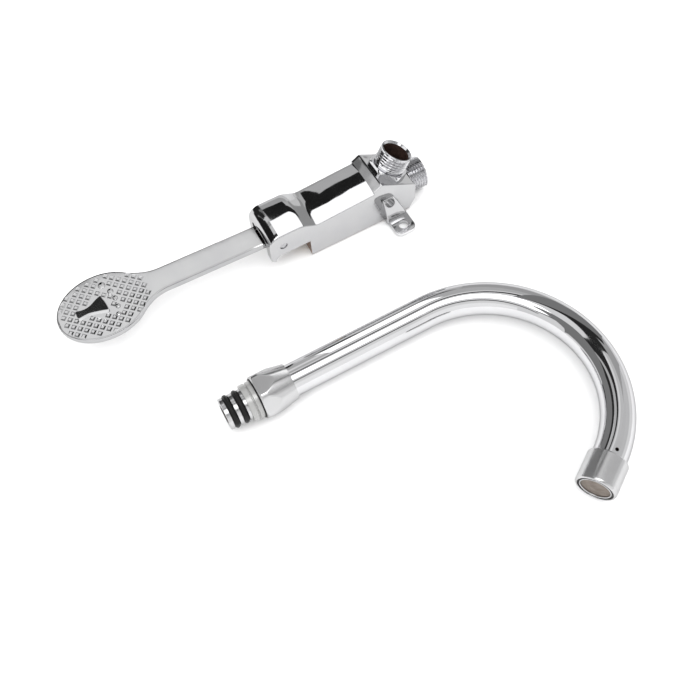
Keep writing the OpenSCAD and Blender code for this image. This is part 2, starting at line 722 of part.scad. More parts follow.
tail_grooves = [for (i = [0 : 1]) tail_end - tail_ring_first - i * tail_ring_step];
tail_ring_mid = tail_ring_od / 2 - tail_ring_d / 2;
module spout_tail() color(chrome) difference() {
    union() {
        on_spout(tail_end) cylinder(d = tail_d, h = tail_out - fit);
        on_spout(tail_end) cylinder(r = tube_r - tube_wall - fit, h = tail_out + 10);
    }
    on_spout(tail_end + 1) cylinder(d = tail_bore, h = tail_out + cover);
    for (s = tail_grooves)
        on_spout(s + tail_ring_d * 0.55)
            tube(tail_d, tail_ring_mid - tail_ring_d / 2 - fit, tail_ring_d * 1.1);
}

module tail_o_rings() color(black) for (s = tail_grooves) on_spout(s) ring(tail_ring_mid, tail_ring_d / 2);

module glide_ring() color(pale) difference() {
    on_spout(glide_start + glide_len) tube(glide_d / 2, tail_d / 2 + fit, glide_len);
    on_spout(glide_start + glide_len - glide_groove_in)
        tube(glide_d, glide_d / 2 - glide_groove, glide_groove);
}

module nut_seal() color(black) on_spout(nut_mouth_s + seal_show)
    tube(nut_seal_d / 2, glide_d / 2 + room, nut_seal_t);

module coupling_nut() color(chrome) difference() {
    intersection() {
        on_spout(nut_mouth_s) union() {
            cylinder(d = nut_mouth_d, h = nut_band);
            translate([0, 0, nut_band]) cylinder(d1 = nut_mouth_d, d2 = nut_small_d, h = nut_len - nut_band);
        }
        on_spout(nut_mouth_s) rotate([0, 0, 30]) hex(nut_af, nut_len);
    }
    on_spout(nut_mouth_s + 1) cylinder(d = nut_seal_d + 2 * fit, h = 1 + nut_seal_t - seal_show + fit);
    on_spout(nut_mouth_s + 1) cylinder(r = glide_d / 2 + room, h = 1 + nut_over + room);
    on_spout(nut_mouth_s + 1) cylinder(r = tube_r + room, h = nut_len + 2);
}

module aerator_housing() color(chrome) at_mouth() difference() {
    translate([0, 0, aerator_start]) cylinder(d = aerator_d, h = aerator_len);
    translate([0, 0, aerator_start - 1]) cylinder(r = tube_r + room, h = washer_s - aerator_start + 1);
    translate([0, 0, washer_s - 0.5])
        cylinder(r = insert_r + fit, h = mouth_s - aerator_lip - washer_s + 0.5);
    cylinder(r = mouth_r, h = cover);
}

module aerator_washer() color(black) at_mouth() translate([0, 0, washer_s])
    tube(insert_r, insert_r - 2.4, aerator_washer_t - fit);

module aerator_insert() color(pale) at_mouth() translate([0, 0, insert_s]) difference() {
    cylinder(r = insert_r, h = screen_s - insert_s - fit);
    translate([0, 0, 1.5]) cylinder(r = insert_r - 1.2, h = cover);
    for (i = [0 : 11])
        rotate([0, 0, i * 30]) translate([insert_r * 0.62, 0, -1]) cylinder(d = 1.6, h = cover);
}

module aerator_screen() color("tan") at_mouth() translate([0, 0, screen_s])
    cylinder(r = insert_r, h = screen_t);

valve_body();
pedal_lever();
pivot_pin();
lever_bush();
push_stem();
gland_bush();
gland_seal();
stem_o_rings();
valve_seat();
valve_disc();
disc_holder();
disc_nut();
return_spring();
inlet_nipple();
inlet_seal();
inlet_strainer();
outlet_nipple();
outlet_seal();
spout_tube();
spout_tail();
tail_o_rings();
glide_ring();
nut_seal();
coupling_nut();
aerator_housing();
aerator_washer();
aerator_insert();
aerator_screen();
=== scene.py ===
"""Foot pedal tap valve with its swan-neck spout: meshes, finishes, studio and camera.

Lengths inside the classes are millimetres in the part's own frame: +X from the pedal to the inlet,
+Z up, the origin in the middle of the valve block's base. Objects are handed over in metres.
"""
import logging
import math
from dataclasses import dataclass
from enum import Enum
from functools import cache
from typing import Callable, Sequence

import bmesh
import bpy
from mathutils import Matrix, Vector


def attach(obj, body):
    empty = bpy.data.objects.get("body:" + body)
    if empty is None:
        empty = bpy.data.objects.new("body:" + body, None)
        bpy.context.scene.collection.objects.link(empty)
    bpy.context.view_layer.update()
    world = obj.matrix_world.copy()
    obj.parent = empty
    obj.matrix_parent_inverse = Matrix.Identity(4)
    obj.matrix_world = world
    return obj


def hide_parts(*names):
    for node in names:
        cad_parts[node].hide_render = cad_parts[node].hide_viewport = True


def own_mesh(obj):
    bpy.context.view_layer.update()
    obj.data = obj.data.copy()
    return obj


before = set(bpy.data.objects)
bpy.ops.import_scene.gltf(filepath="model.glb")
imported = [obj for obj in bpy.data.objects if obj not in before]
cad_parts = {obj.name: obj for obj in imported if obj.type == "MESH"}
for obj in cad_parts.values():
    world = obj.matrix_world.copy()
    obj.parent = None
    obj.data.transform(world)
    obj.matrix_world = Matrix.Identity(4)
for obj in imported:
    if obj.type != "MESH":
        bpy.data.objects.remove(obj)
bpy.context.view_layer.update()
LOG = logging.getLogger("pedal_valve")

Pair = tuple[float, float]
Triple = tuple[float, float, float]
Ring = list[Vector]
Piece = bpy.types.Object
Tree = bpy.types.NodeTree
Node = bpy.types.Node
Socket = bpy.types.NodeSocket

MM = 0.001
TURN = 2 * math.pi
HEX = TURN / 6
# The radius at which a solid turned piece meets its axis
CORE = 0.001
# How far a cut or a joint goes past a face, so that the two don't share it
PAST = 0.02

# Placements of flat outlines: as drawn, seen from the side, and seen from the end
FLAT = Matrix.Identity(4)
SIDE_ON = Matrix(((1, 0, 0, 0), (0, 0, -1, 0), (0, 1, 0, 0), (0, 0, 0, 1)))
END_ON = Matrix(((0, 0, 1, 0), (1, 0, 0, 0), (0, 1, 0, 0), (0, 0, 0, 1)))


class Cut(Enum):
    """How one solid works on another."""

    JOIN = "UNION"
    REMOVE = "DIFFERENCE"


class Side(Enum):
    """Which finish of a piece a face takes."""

    OUTER = 0
    # The inside finish: raw brass in the casting; bores, the sleeve's groove and the lever's edge take
    # finishes with painted shade
    INNER = 1
    # Faces that take a copy of the piece's finish with painted light on the ear and painted shade on the port
    # rims
    BRIGHT = 2


# Meshes


class Draft:
    """Points and faces of one solid while it is made, in millimetres."""

    def __init__(self) -> None:
        """Starts with no points and no faces."""
        self.points: list[Vector] = []
        self.index: dict[Triple, int] = {}
        self.faces: list[tuple[int, ...]] = []
        self.sides: list[int] = []

    def point(self, place: Sequence[float]) -> int:
        """Adds a point, or finds the one that is already there.

        Args:
            place: the point's coordinates.

        Returns:
            The point's number.
        """
        key = (round(place[0], 5), round(place[1], 5), round(place[2], 5))
        if key not in self.index:
            self.index[key] = len(self.points)
            self.points.append(Vector(place))
        return self.index[key]

    def face(self, corners: Sequence[Sequence[float]], side: Side = Side.OUTER) -> None:
        """Adds a face, and leaves out corners that fall together.

        Args:
            corners: the corners in order.
            side: the finish that the face takes.
        """
        numbers: list[int] = []
        for corner in corners:
            number = self.point(corner)
            if number not in numbers:
                numbers.append(number)
        if len(numbers) > 2:
            self.faces.append(tuple(numbers))
            self.sides.append(side.value)

    def band(self, first: Ring, second: Ring, side: Side = Side.OUTER, closed: bool = True) -> None:
        """Joins two rows of points with faces.

        Args:
            first: one row.
            second: the other row, with as many points.
            side: the finish of the faces.
            closed: whether the rows run round to their start.
        """
        count = len(first)
        for i in range(count if closed else count - 1):
            j = (i + 1) % count
            self.face((first[i], first[j], second[j], second[i]), side)

    def loft(self, rings: Sequence[Ring], side: Side = Side.OUTER) -> None:
        """Joins closed rings in a row and closes both ends.

        Args:
            rings: the rings in order.
            side: the finish of the faces.
        """
        for first, second in zip(rings, rings[1:]):
            self.band(first, second, side)
        self.face(rings[0], side)
        self.face(rings[-1], side)

    def shell(self, rings: Sequence[Ring], sides: Sequence[Side] | None = None) -> None:
        """Joins closed rings into a closed tube that returns to its first ring.

        Args:
            rings: the rings in order.
            sides: the finish of the band after each ring.
        """
        for k, ring in enumerate(rings):
            side = sides[k] if sides else Side.OUTER
            self.band(ring, rings[(k + 1) % len(rings)], side)

    def solid(self, name: str) -> Piece:
        """Turns the draft into an object, still in millimetres.

        Args:
            name: the object's name.

        Returns:
            The object, with its faces turned outwards.
        """
        mesh = bpy.data.meshes.new(name)
        mesh.from_pydata([tuple(p) for p in self.points], [], self.faces)
        for _ in Side:
            mesh.materials.append(CAST_CHROME.material())
        for polygon, side in zip(mesh.polygons, self.sides):
            polygon.material_index = side
        body = bmesh.new()
        body.from_mesh(mesh)
        bmesh.ops.dissolve_degenerate(body, dist=1e-5, edges=body.edges)
        bmesh.ops.recalc_face_normals(body, faces=body.faces)
        body.to_mesh(mesh)
        body.free()
        return linked(name, mesh)


def linked(name: str, data: bpy.types.ID) -> Piece:
    """Makes an object from its data and puts it into the scene.

    Args:
        name: the object's name.
        data: its mesh, lamp or camera.

    Returns:
        The object.
    """
    thing = bpy.data.objects.new(name, data)
    bpy.context.scene.collection.objects.link(thing)
    return thing


def unit_frame(origin: Sequence[float], axis: Sequence[float]) -> Matrix:
    """Makes a placement whose third direction runs along an axis, and whose first leans upwards.

    Args:
        origin: where the placement starts.
        axis: the direction of its third axis.

    Returns:
        The placement as a matrix.
    """
    up = Vector((0, 0, 1))
    third = Vector(axis).normalized()
    first = up - third * third.dot(up)
    if first.length < 1e-6:
        first = Vector((1, 0, 0)) - third * third.x
    first.normalize()
    second = third.cross(first)
    return Matrix.Translation(Vector(origin)) @ Matrix((first, second, third)).transposed().to_4x4()


def angles(count: int) -> list[float]:
    """Gives the angles that part a full turn into equal steps."""
    return [TURN * k / count for k in range(count)]


def disc(radius: float, count: int = 48) -> list[Pair]:
    """Gives a round outline of a radius."""
    return [(radius * math.cos(a), radius * math.sin(a)) for a in angles(count)]


def arc(middle: Pair, radius: float, start: float, step: float, count: int) -> list[Pair]:
    """Gives points on an arc.

    Args:
        middle: the arc's middle.
        radius: its radius.
        start: angle of the first point, in degrees.
        step: angle from point to point, in degrees.
        count: how many points it has.

    Returns:
        The points in order.
    """
    turns = [math.radians(start + step * k) for k in range(count)]
    return [(middle[0] + radius * math.cos(a), middle[1] + radius * math.sin(a)) for a in turns]


def washer(inner: float, outer: float, low: float, high: float) -> list[Pair]:
    """Gives the section of a plain ring, as radius and height of its corners."""
    return [(inner, low), (outer, low), (outer, high), (inner, high)]


def hexagon(half: float, angle: float) -> float:
    """Gives a hexagon's radius at an angle, from half its width across flats."""
    return half / math.cos((angle + HEX / 2) % HEX - HEX / 2)


def left_of(outline: Sequence[Vector]) -> list[Vector]:
    """Gives the direction to the left of a closed outline at each of its points."""
    along = [outline[(i + 1) % len(outline)] - outline[i - 1] for i in range(len(outline))]
    return [Vector((-a.y, a.x)).normalized() for a in along]


def rounded(corners: Sequence[Pair], radius: float, steps: int = 3, share: float = 0.45) -> list[Pair]:
    """Rounds the corners of a closed outline.

    Args:
        corners: the outline.
        radius: the rounding, smaller where an edge is short.
        steps: the points that make each rounding, less one.
        share: the most that a rounding takes of an edge.

    Returns:
        The rounded outline.
    """
    out: list[Pair] = []
    for i, corner in enumerate(corners):
        here = Vector(corner)
        back, ahead = Vector(corners[i - 1]) - here, Vector(corners[(i + 1) % len(corners)]) - here
        reach = min(radius, back.length * share, ahead.length * share)
        start, end = here + back.normalized() * reach, here + ahead.normalized() * reach
        for k in range(steps + 1):
            t = k / steps
            place = start * (1 - t) ** 2 + here * 2 * t * (1 - t) + end * t * t
            out.append((place.x, place.y))
    return out


def knee(x: float, width: float) -> float:
    """Gives a ramp that starts at zero with a soft knee of a half width."""
    bent = min(max(x + width, 0.0), 2 * width) ** 2 / (4 * width)
    return max(x, bent)


def soft_line(corners: Sequence[Pair], widths: Sequence[float]) -> Callable[[float], float]:
    """Makes a height over a length from straight runs with soft corners.

    Args:
        corners: length and height of the corners.
        widths: half width of the rounding at each inner corner.

    Returns:
        The height as a function of the length.
    """
    slopes = [(b[1] - a[1]) / (b[0] - a[0]) for a, b in zip(corners, corners[1:])]

    def height(x: float) -> float:
        """Gives the height at a length.

        Args:
            x: the length.

        Returns:
            The height.
        """
        z = corners[0][1] + slopes[0] * (x - corners[0][0])
        for k, width in enumerate(widths):
            z += (slopes[k + 1] - slopes[k]) * knee(x - corners[k + 1][0], width)
        return z

    return height


def spun(place: Matrix, height: float, radius: Callable[[float], float], count: int = 96) -> Ring:
    """Makes one ring round an axis.

    Args:
        place: the axis as a placement.
        height: the ring's place along the axis.
        radius: its radius at an angle.
        count: how many points it has.

    Returns:
        The ring.
    """
    return [place @ Vector((radius(a) * math.cos(a), radius(a) * math.sin(a), height)) for a in angles(count)]


def turned(outline: Sequence[Pair], place: Matrix, count: int = 96) -> list[Ring]:
    """Turns an outline of radius and height round an axis, and gives a ring for each of its points."""
    return [spun(place, height, lambda a, r=radius: r, count) for radius, height in outline]


def turned_solid(name: str, outline: Sequence[Pair], place: Matrix, count: int = 96, soft: float = 0.3,
                 inner: Callable[[Pair], bool] | None = None) -> Piece:
    """Makes a turned piece with rounded edges.

    Args:
        name: the object's name.
        outline: radius and height round the section.
        place: the axis as a placement.
        count: points in each ring.
        soft: rounding of the edges.
        inner: tells which points of the section have the inner finish.

    Returns:
        The piece, in millimetres.
    """
    section = rounded(outline, soft)
    draft = Draft()
    sides = [Side.INNER if inner and inner(p) else Side.OUTER for p in section]
    draft.shell(turned(section, place, count), sides)
    return draft.solid(name)


def prism(name: str, outline: Sequence[Pair], low: float, high: float, place: Matrix, bevel: float = 0.0,
          side: Side = Side.OUTER) -> Piece:
    """Makes a straight piece from an outline, with its edges broken.

    Args:
        name: the object's name.
        outline: the outline in the placement's first two directions.
        low: where the piece starts along the third direction.
        high: where it ends.
        place: the placement.
        bevel: width of the broken edges.
        side: the finish of its faces.

    Returns:
        The piece, in millimetres.
    """
    draft = Draft()
    draft.loft([[place @ Vector((u, v, end)) for u, v in outline] for end in (low, high)], side)
    thing = draft.solid(name)
    return softened(thing, bevel) if bevel > 0 else thing


def softened(thing: Piece, bevel: float, sharp_from: float = 35.0) -> Piece:
    """Breaks the sharp edges of a solid.

    Args:
        thing: the solid, in millimetres.
        bevel: width of the broken edges.
        sharp_from: the angle from which an edge is sharp, in degrees.

    Returns:
        The solid.
    """
    body = bmesh.new()
    body.from_mesh(thing.data)
    bmesh.ops.dissolve_limit(body, angle_limit=0.002, verts=body.verts, edges=body.edges)
    limit = math.radians(sharp_from)
    sharp = [e for e in body.edges if len(e.link_faces) == 2 and e.calc_face_angle() > limit]
    bmesh.ops.bevel(body, geom=sharp, offset=bevel, segments=3, profile=0.5, affect="EDGES",
                    clamp_overlap=True)
    body.to_mesh(thing.data)
    body.free()
    return thing


def settled(thing: Piece, modifier: bpy.types.Modifier) -> None:
    """Works a modifier into an object's mesh.

    Args:
        thing: the object.
        modifier: its modifier, which is used up.
    """
    bpy.context.view_layer.update()
    mesh = bpy.data.meshes.new_from_object(thing.evaluated_get(bpy.context.evaluated_depsgraph_get()))
    thing.modifiers.remove(modifier)
    thing.data = mesh


def work(base: Piece, tool: Piece, cut: Cut) -> Piece:
    """Joins a tool to a solid, or takes it away, and drops the tool.

    Args:
        base: the solid.
        tool: the other solid.
        cut: join or remove.

    Returns:
        The solid.
    """
    modifier = base.modifiers.new("work", "BOOLEAN")
    modifier.operation = cut.value
    modifier.solver = "EXACT"
    modifier.object = tool
    settled(base, modifier)
    bpy.data.objects.remove(tool)
    return base


def merged(name: str, pieces: Sequence[Piece]) -> Piece:
    """Puts several solids into one object.

    Args:
        name: the object's name.
        pieces: the solids, which are used up.

    Returns:
        The object.
    """
    body = bmesh.new()
    for piece in pieces:
        body.from_mesh(piece.data)
        bpy.data.objects.remove(piece)
    mesh = bpy.data.meshes.new(name)
    body.to_mesh(mesh)
    body.free()
    return linked(name, mesh)


def finished(thing: Piece, body: str, finishes: Sequence["Finish"], node: str,
             crease: float = 32.0) -> Piece:
    """Brings a piece to metres, shades it, dresses it, hangs it on its body and hides the solid that it
    stands for.

    Args:
        thing: the piece in millimetres.
        body: the body that it rides on.
        finishes: the finish of each side.
        node: the solid that it stands for.
        crease: the angle from which an edge stays sharp, in degrees.

    Returns:
        The piece.
    """
    mesh = thing.data
    mesh.transform(Matrix.Scale(MM, 4))
    shape = bmesh.new()
    shape.from_mesh(mesh)
    for face in shape.faces:
        face.smooth = True
    for edge in shape.edges:
        edge.smooth = len(edge.link_faces) == 2 and edge.calc_face_angle(0.0) < math.radians(crease)
    shape.to_mesh(mesh)
    shape.free()
    while len(mesh.materials) < len(Side):
        mesh.materials.append(CAST_CHROME.material())
    for side in Side:
        mesh.materials[side.value] = finishes[min(side.value, len(finishes) - 1)].material()
    weigh = thing.modifiers.new("flat faces stay flat", "WEIGHTED_NORMAL")
    weigh.keep_sharp = True
    weigh.weight = 60
    settled(thing, weigh)
    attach(thing, body)
    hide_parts(node)
    LOG.info("%s: %d faces on %s", thing.name, len(thing.data.polygons), body)
    return thing


# Finishes


def add_node(tree: Tree, kind: str, values: dict[str, object] | None = None,
             group: Tree | None = None) -> Node:
    """Adds a shader node and sets some of its inputs.

    Args:
        tree: the tree of a material, a world or a group.
        kind: the node's type.
        values: input values by name.
        group: the group that it places, if it is a group node.

    Returns:
        The node.
    """
    node = tree.nodes.new(kind)
    if group:
        node.node_tree = group
    for label, value in (values or {}).items():
        node.inputs[label].default_value = value
    return node


def wire_up(tree: Tree, *pairs: tuple[Socket, Socket]) -> None:
    """Links sockets in pairs, from an output to an input."""
    for start, end in pairs:
        tree.links.new(start, end)


class Effects:
    """Shader groups that several finishes share, each built once."""

    @staticmethod
    def group(name: str, inputs: dict[str, float | tuple], output: str) -> tuple[Tree, Node, Node]:
        """Starts a group with named sockets.

        Args:
            name: the group's name.
            inputs: first values by name, a number or a colour.
            output: the result's name, which is Color for a colour.

        Returns:
            The tree, its input node and its output node.
        """
        tree = bpy.data.node_groups.new(name, "ShaderNodeTree")
        for label, value in inputs.items():
            kind = "NodeSocketColor" if isinstance(value, tuple) else "NodeSocketFloat"
            tree.interface.new_socket(label, in_out="INPUT", socket_type=kind).default_value = value
        kind = "NodeSocketColor" if output == "Color" else "NodeSocketFloat"
        tree.interface.new_socket(output, in_out="OUTPUT", socket_type=kind)
        return tree, add_node(tree, "NodeGroupInput"), add_node(tree, "NodeGroupOutput")

    @staticmethod
    def clouds(tree: Tree, start: Node, detail: float, roughness: float, levels: Pair) -> Node:
        """Adds clouds to a group that has an input named Scale.

        Args:
            tree: the group.
            start: its input node.
            detail: the noise's detail.
            roughness: the noise's roughness.
            levels: the noise levels that become the two ends.

        Returns:
            The node whose Result runs from To Min to To Max.
        """
        where = add_node(tree, "ShaderNodeTexCoord")
        cloud = add_node(tree, "ShaderNodeTexNoise", {"Detail": detail, "Roughness": roughness})
        spread = add_node(tree, "ShaderNodeMapRange", {"From Min": levels[0], "From Max": levels[1]})
        wire_up(tree, (where.outputs["Object"], cloud.inputs["Vector"]),
                (start.outputs["Scale"], cloud.inputs["Scale"]),
                (cloud.outputs["Fac"], spread.inputs["Value"]))
        return spread

    @staticmethod
    @cache
    def ripple() -> Tree:
        """Gives the height of a hand-polished surface: long waves with a fine grain on them.

        Returns:
            The group, whose result is Height.
        """
        tree, start, end = Effects.group("polishing ripple", {"Scale": 60.0, "Grain": 0.05}, "Height")
        where = add_node(tree, "ShaderNodeTexCoord")
        wave = add_node(tree, "ShaderNodeTexNoise", {"Detail": 1.5})
        fine = add_node(tree, "ShaderNodeTexNoise", {"Scale": 2600.0, "Detail": 2.0})
        grain = add_node(tree, "ShaderNodeMath")
        grain.operation = "MULTIPLY_ADD"
        wire_up(tree, (where.outputs["Object"], wave.inputs["Vector"]),
                (where.outputs["Object"], fine.inputs["Vector"]),
                (start.outputs["Scale"], wave.inputs["Scale"]),
                (fine.outputs["Fac"], grain.inputs[0]), (start.outputs["Grain"], grain.inputs[1]),
                (wave.outputs["Fac"], grain.inputs[2]), (grain.outputs[0], end.inputs["Height"]))
        return tree

    @staticmethod
    @cache
    def smudge() -> Tree:
        """Gives a roughness that drifts between two values, as handling and wiping leave it.

        Returns:
            The group, whose result is Roughness.
        """
        first = {"Clean": 0.05, "Dull": 0.15, "Scale": 90.0}
        tree, start, end = Effects.group("wiped smudges", first, "Roughness")
        spread = Effects.clouds(tree, start, 5.0, 0.62, (0.38, 0.72))
        wire_up(tree, (start.outputs["Clean"], spread.inputs["To Min"]),
                (start.outputs["Dull"], spread.inputs["To Max"]),
                (spread.outputs["Result"], end.inputs["Roughness"]))
        return tree

    @staticmethod
    @cache
    def drift() -> Tree:
        """Gives a colour that drifts between two colours in clouds.

        Returns:
            The group, whose result is Color.
        """
        first = {"Main": (0.6, 0.6, 0.6, 1), "Second": (0.5, 0.5, 0.5, 1), "Scale": 120.0}
        tree, start, end = Effects.group("colour drift", first, "Color")
        spread = Effects.clouds(tree, start, 6.0, 0.6, (0.35, 0.68))
        mix = add_node(tree, "ShaderNodeMix")
        mix.data_type = "RGBA"
        color_a, color_b, mixed = mix.inputs[6], mix.inputs[7], mix.outputs[2]
        wire_up(tree, (spread.outputs["Result"], mix.inputs["Factor"]), (start.outputs["Main"], color_a),
                (start.outputs["Second"], color_b), (mixed, end.inputs["Color"]))
        return tree


@dataclass(frozen=True)
class Finish:
    """A surface: its two colours, its roughness clean and dull, and its fine relief in metres.

    The scales are those of the colour's drift, of the smudges and of the ripple.
    """

    name: str
    color: Triple
    second: Triple
    rough: Pair
    scales: Triple
    relief: float
    metallic: float = 1.0
    grain: float = 0.0
    gloss: float = 0.5
    edge: float = 1.0

    def material(self) -> bpy.types.Material:
        """Makes the material, once.

        Returns:
            The material.
        """
        if self.name in bpy.data.materials:
            return bpy.data.materials[self.name]
        material = bpy.data.materials.new(self.name)
        material.use_nodes = True
        tree = material.node_tree
        shader = tree.nodes["Principled BSDF"].inputs
        shader["Metallic"].default_value = self.metallic
        shader["Specular IOR Level"].default_value = self.gloss
        shader["Specular Tint"].default_value = (self.edge, self.edge, self.edge, 1)
        colors = {"Main": (*self.color, 1), "Second": (*self.second, 1), "Scale": self.scales[0]}
        smears = {"Clean": self.rough[0], "Dull": self.rough[1], "Scale": self.scales[1]}
        waves = {"Scale": self.scales[2], "Grain": self.grain}
        tint = add_node(tree, "ShaderNodeGroup", colors, Effects.drift())
        smear = add_node(tree, "ShaderNodeGroup", smears, Effects.smudge())
        wave = add_node(tree, "ShaderNodeGroup", waves, Effects.ripple())
        bump = add_node(tree, "ShaderNodeBump", {"Strength": 1.0, "Distance": self.relief})
        wire_up(tree, (tint.outputs["Color"], shader["Base Color"]),
                (smear.outputs["Roughness"], shader["Roughness"]),
                (wave.outputs["Height"], bump.inputs["Height"]), (bump.outputs["Normal"], shader["Normal"]))
        return material


CAST_CHROME = Finish("cast chrome", (0.51, 0.51, 0.515), (0.485, 0.485, 0.495), rough=(0.04, 0.09),
                     scales=(60, 70, 42), relief=0.0006, edge=0.75)
# The ear's chrome: the casting's chrome made lighter, painted light
EAR_PAINTED_LIGHT = Finish("ear chrome with painted light", (0.78, 0.78, 0.785), (0.72, 0.72, 0.73), rough=(0.05, 0.1),
                    scales=(60, 70, 42), relief=0.0003, edge=0.75)
LEVER_CHROME = Finish("lever chrome", (0.64, 0.64, 0.645), (0.6, 0.6, 0.61), rough=(0.06, 0.12),
                      scales=(60, 80, 60), relief=0.0001, edge=0.7)
# The lever's rounded edge: its chrome made darker, painted shade
LEVER_EDGE_SHADE = Finish("lever edge shade", (0.44, 0.44, 0.445), (0.4, 0.4, 0.41), rough=(0.08, 0.16),
                    scales=(60, 80, 60), relief=0.0001, edge=0.7)
THREAD_CHROME = Finish("thread chrome", (0.63, 0.63, 0.645), (0.52, 0.52, 0.535), rough=(0.07, 0.16),
                       scales=(160, 120, 90), relief=0.00006, grain=0.01, edge=0.7)
# The port rims and mouth chamfers: the thread's chrome made darker to damp their highlight, painted shade
RIM_PAINTED_SHADE = Finish("rim chrome with painted shade", (0.42, 0.42, 0.43), (0.38, 0.38, 0.39), rough=(0.14, 0.24),
                    scales=(160, 120, 90), relief=0.00006, grain=0.01, edge=0.6)
TUBE_CHROME = Finish("tube chrome", (0.63, 0.63, 0.64), (0.6, 0.6, 0.61), rough=(0.025, 0.05),
                     scales=(40, 60, 30), relief=0.00005, edge=0.45)
NUT_CHROME = Finish("nut chrome", (0.53, 0.53, 0.535), (0.5, 0.5, 0.505), rough=(0.18, 0.26),
                    scales=(60, 70, 60), relief=0.00008, edge=0.65)
RAW_BRASS = Finish("raw brass", (0.2, 0.125, 0.09), (0.12, 0.075, 0.052), rough=(0.38, 0.6),
                   scales=(260, 180, 420), relief=0.0003, metallic=0.2, grain=0.35)
# Unplated brass in the bores and inside the tube, darker than the raw brass: its own colour with painted
# shade
BORE_BRASS_SHADED = Finish("bore brass with painted shade", (0.075, 0.04, 0.03), (0.03, 0.017, 0.014), rough=(0.42, 0.65),
                    scales=(300, 180, 500), relief=0.0003, metallic=0.6, grain=0.35)
TURNED_BRASS = Finish("turned brass", (0.55, 0.4, 0.19), (0.44, 0.3, 0.14), rough=(0.16, 0.3),
                      scales=(140, 150, 200), relief=0.00008, grain=0.05)
SEAL_RUBBER = Finish("seal rubber", (0.008, 0.008, 0.008), (0.014, 0.0135, 0.0135), rough=(0.3, 0.46),
                     scales=(220, 200, 900), relief=0.00006, metallic=0.0, grain=0.3, gloss=0.1)
# A near-black finish in the sleeve's groove, where there is only shade: painted shade
GROOVE_SHADE = Finish("painted groove shade", (0.055, 0.053, 0.052), (0.03, 0.029, 0.028), rough=(0.35, 0.5),
                     scales=(220, 200, 300), relief=0.00006, metallic=0.3, grain=0.2)
PALE_RING = Finish("pale ring", (0.39, 0.39, 0.385), (0.34, 0.34, 0.335), rough=(0.26, 0.38),
                   scales=(120, 140, 300), relief=0.00005, metallic=0.4, grain=0.15)
WHITE_PLASTIC = Finish("white plastic", (0.7, 0.7, 0.69), (0.64, 0.64, 0.62), rough=(0.35, 0.5),
                       scales=(160, 150, 400), relief=0.00006, metallic=0.0, grain=0.2)
DRAWN_STEEL = Finish("drawn steel", (0.48, 0.48, 0.49), (0.4, 0.4, 0.41), rough=(0.2, 0.34),
                     scales=(150, 150, 260), relief=0.00006, grain=0.1)
MESH_WIRE = Finish("mesh wire", (0.36, 0.315, 0.28), (0.25, 0.215, 0.19), rough=(0.34, 0.55),
                   scales=(320, 220, 500), relief=0.00005, metallic=0.7, grain=0.2)


# The pedal valve

# Axes that several pieces share: the lever's pivot, the water way, and the leaning outlet
PIVOT: Pair = (-54.0, 22.6)
WAY_Z = 11.5
LEAN = math.radians(30)
HINGE = unit_frame((PIVOT[0], 0, PIVOT[1]), (0, 1, 0))
WAY = unit_frame((0, 0, WAY_Z), (1, 0, 0))
OUTLET = unit_frame((28.3, 0, 28.7), (math.sin(LEAN), 0, math.cos(LEAN)))


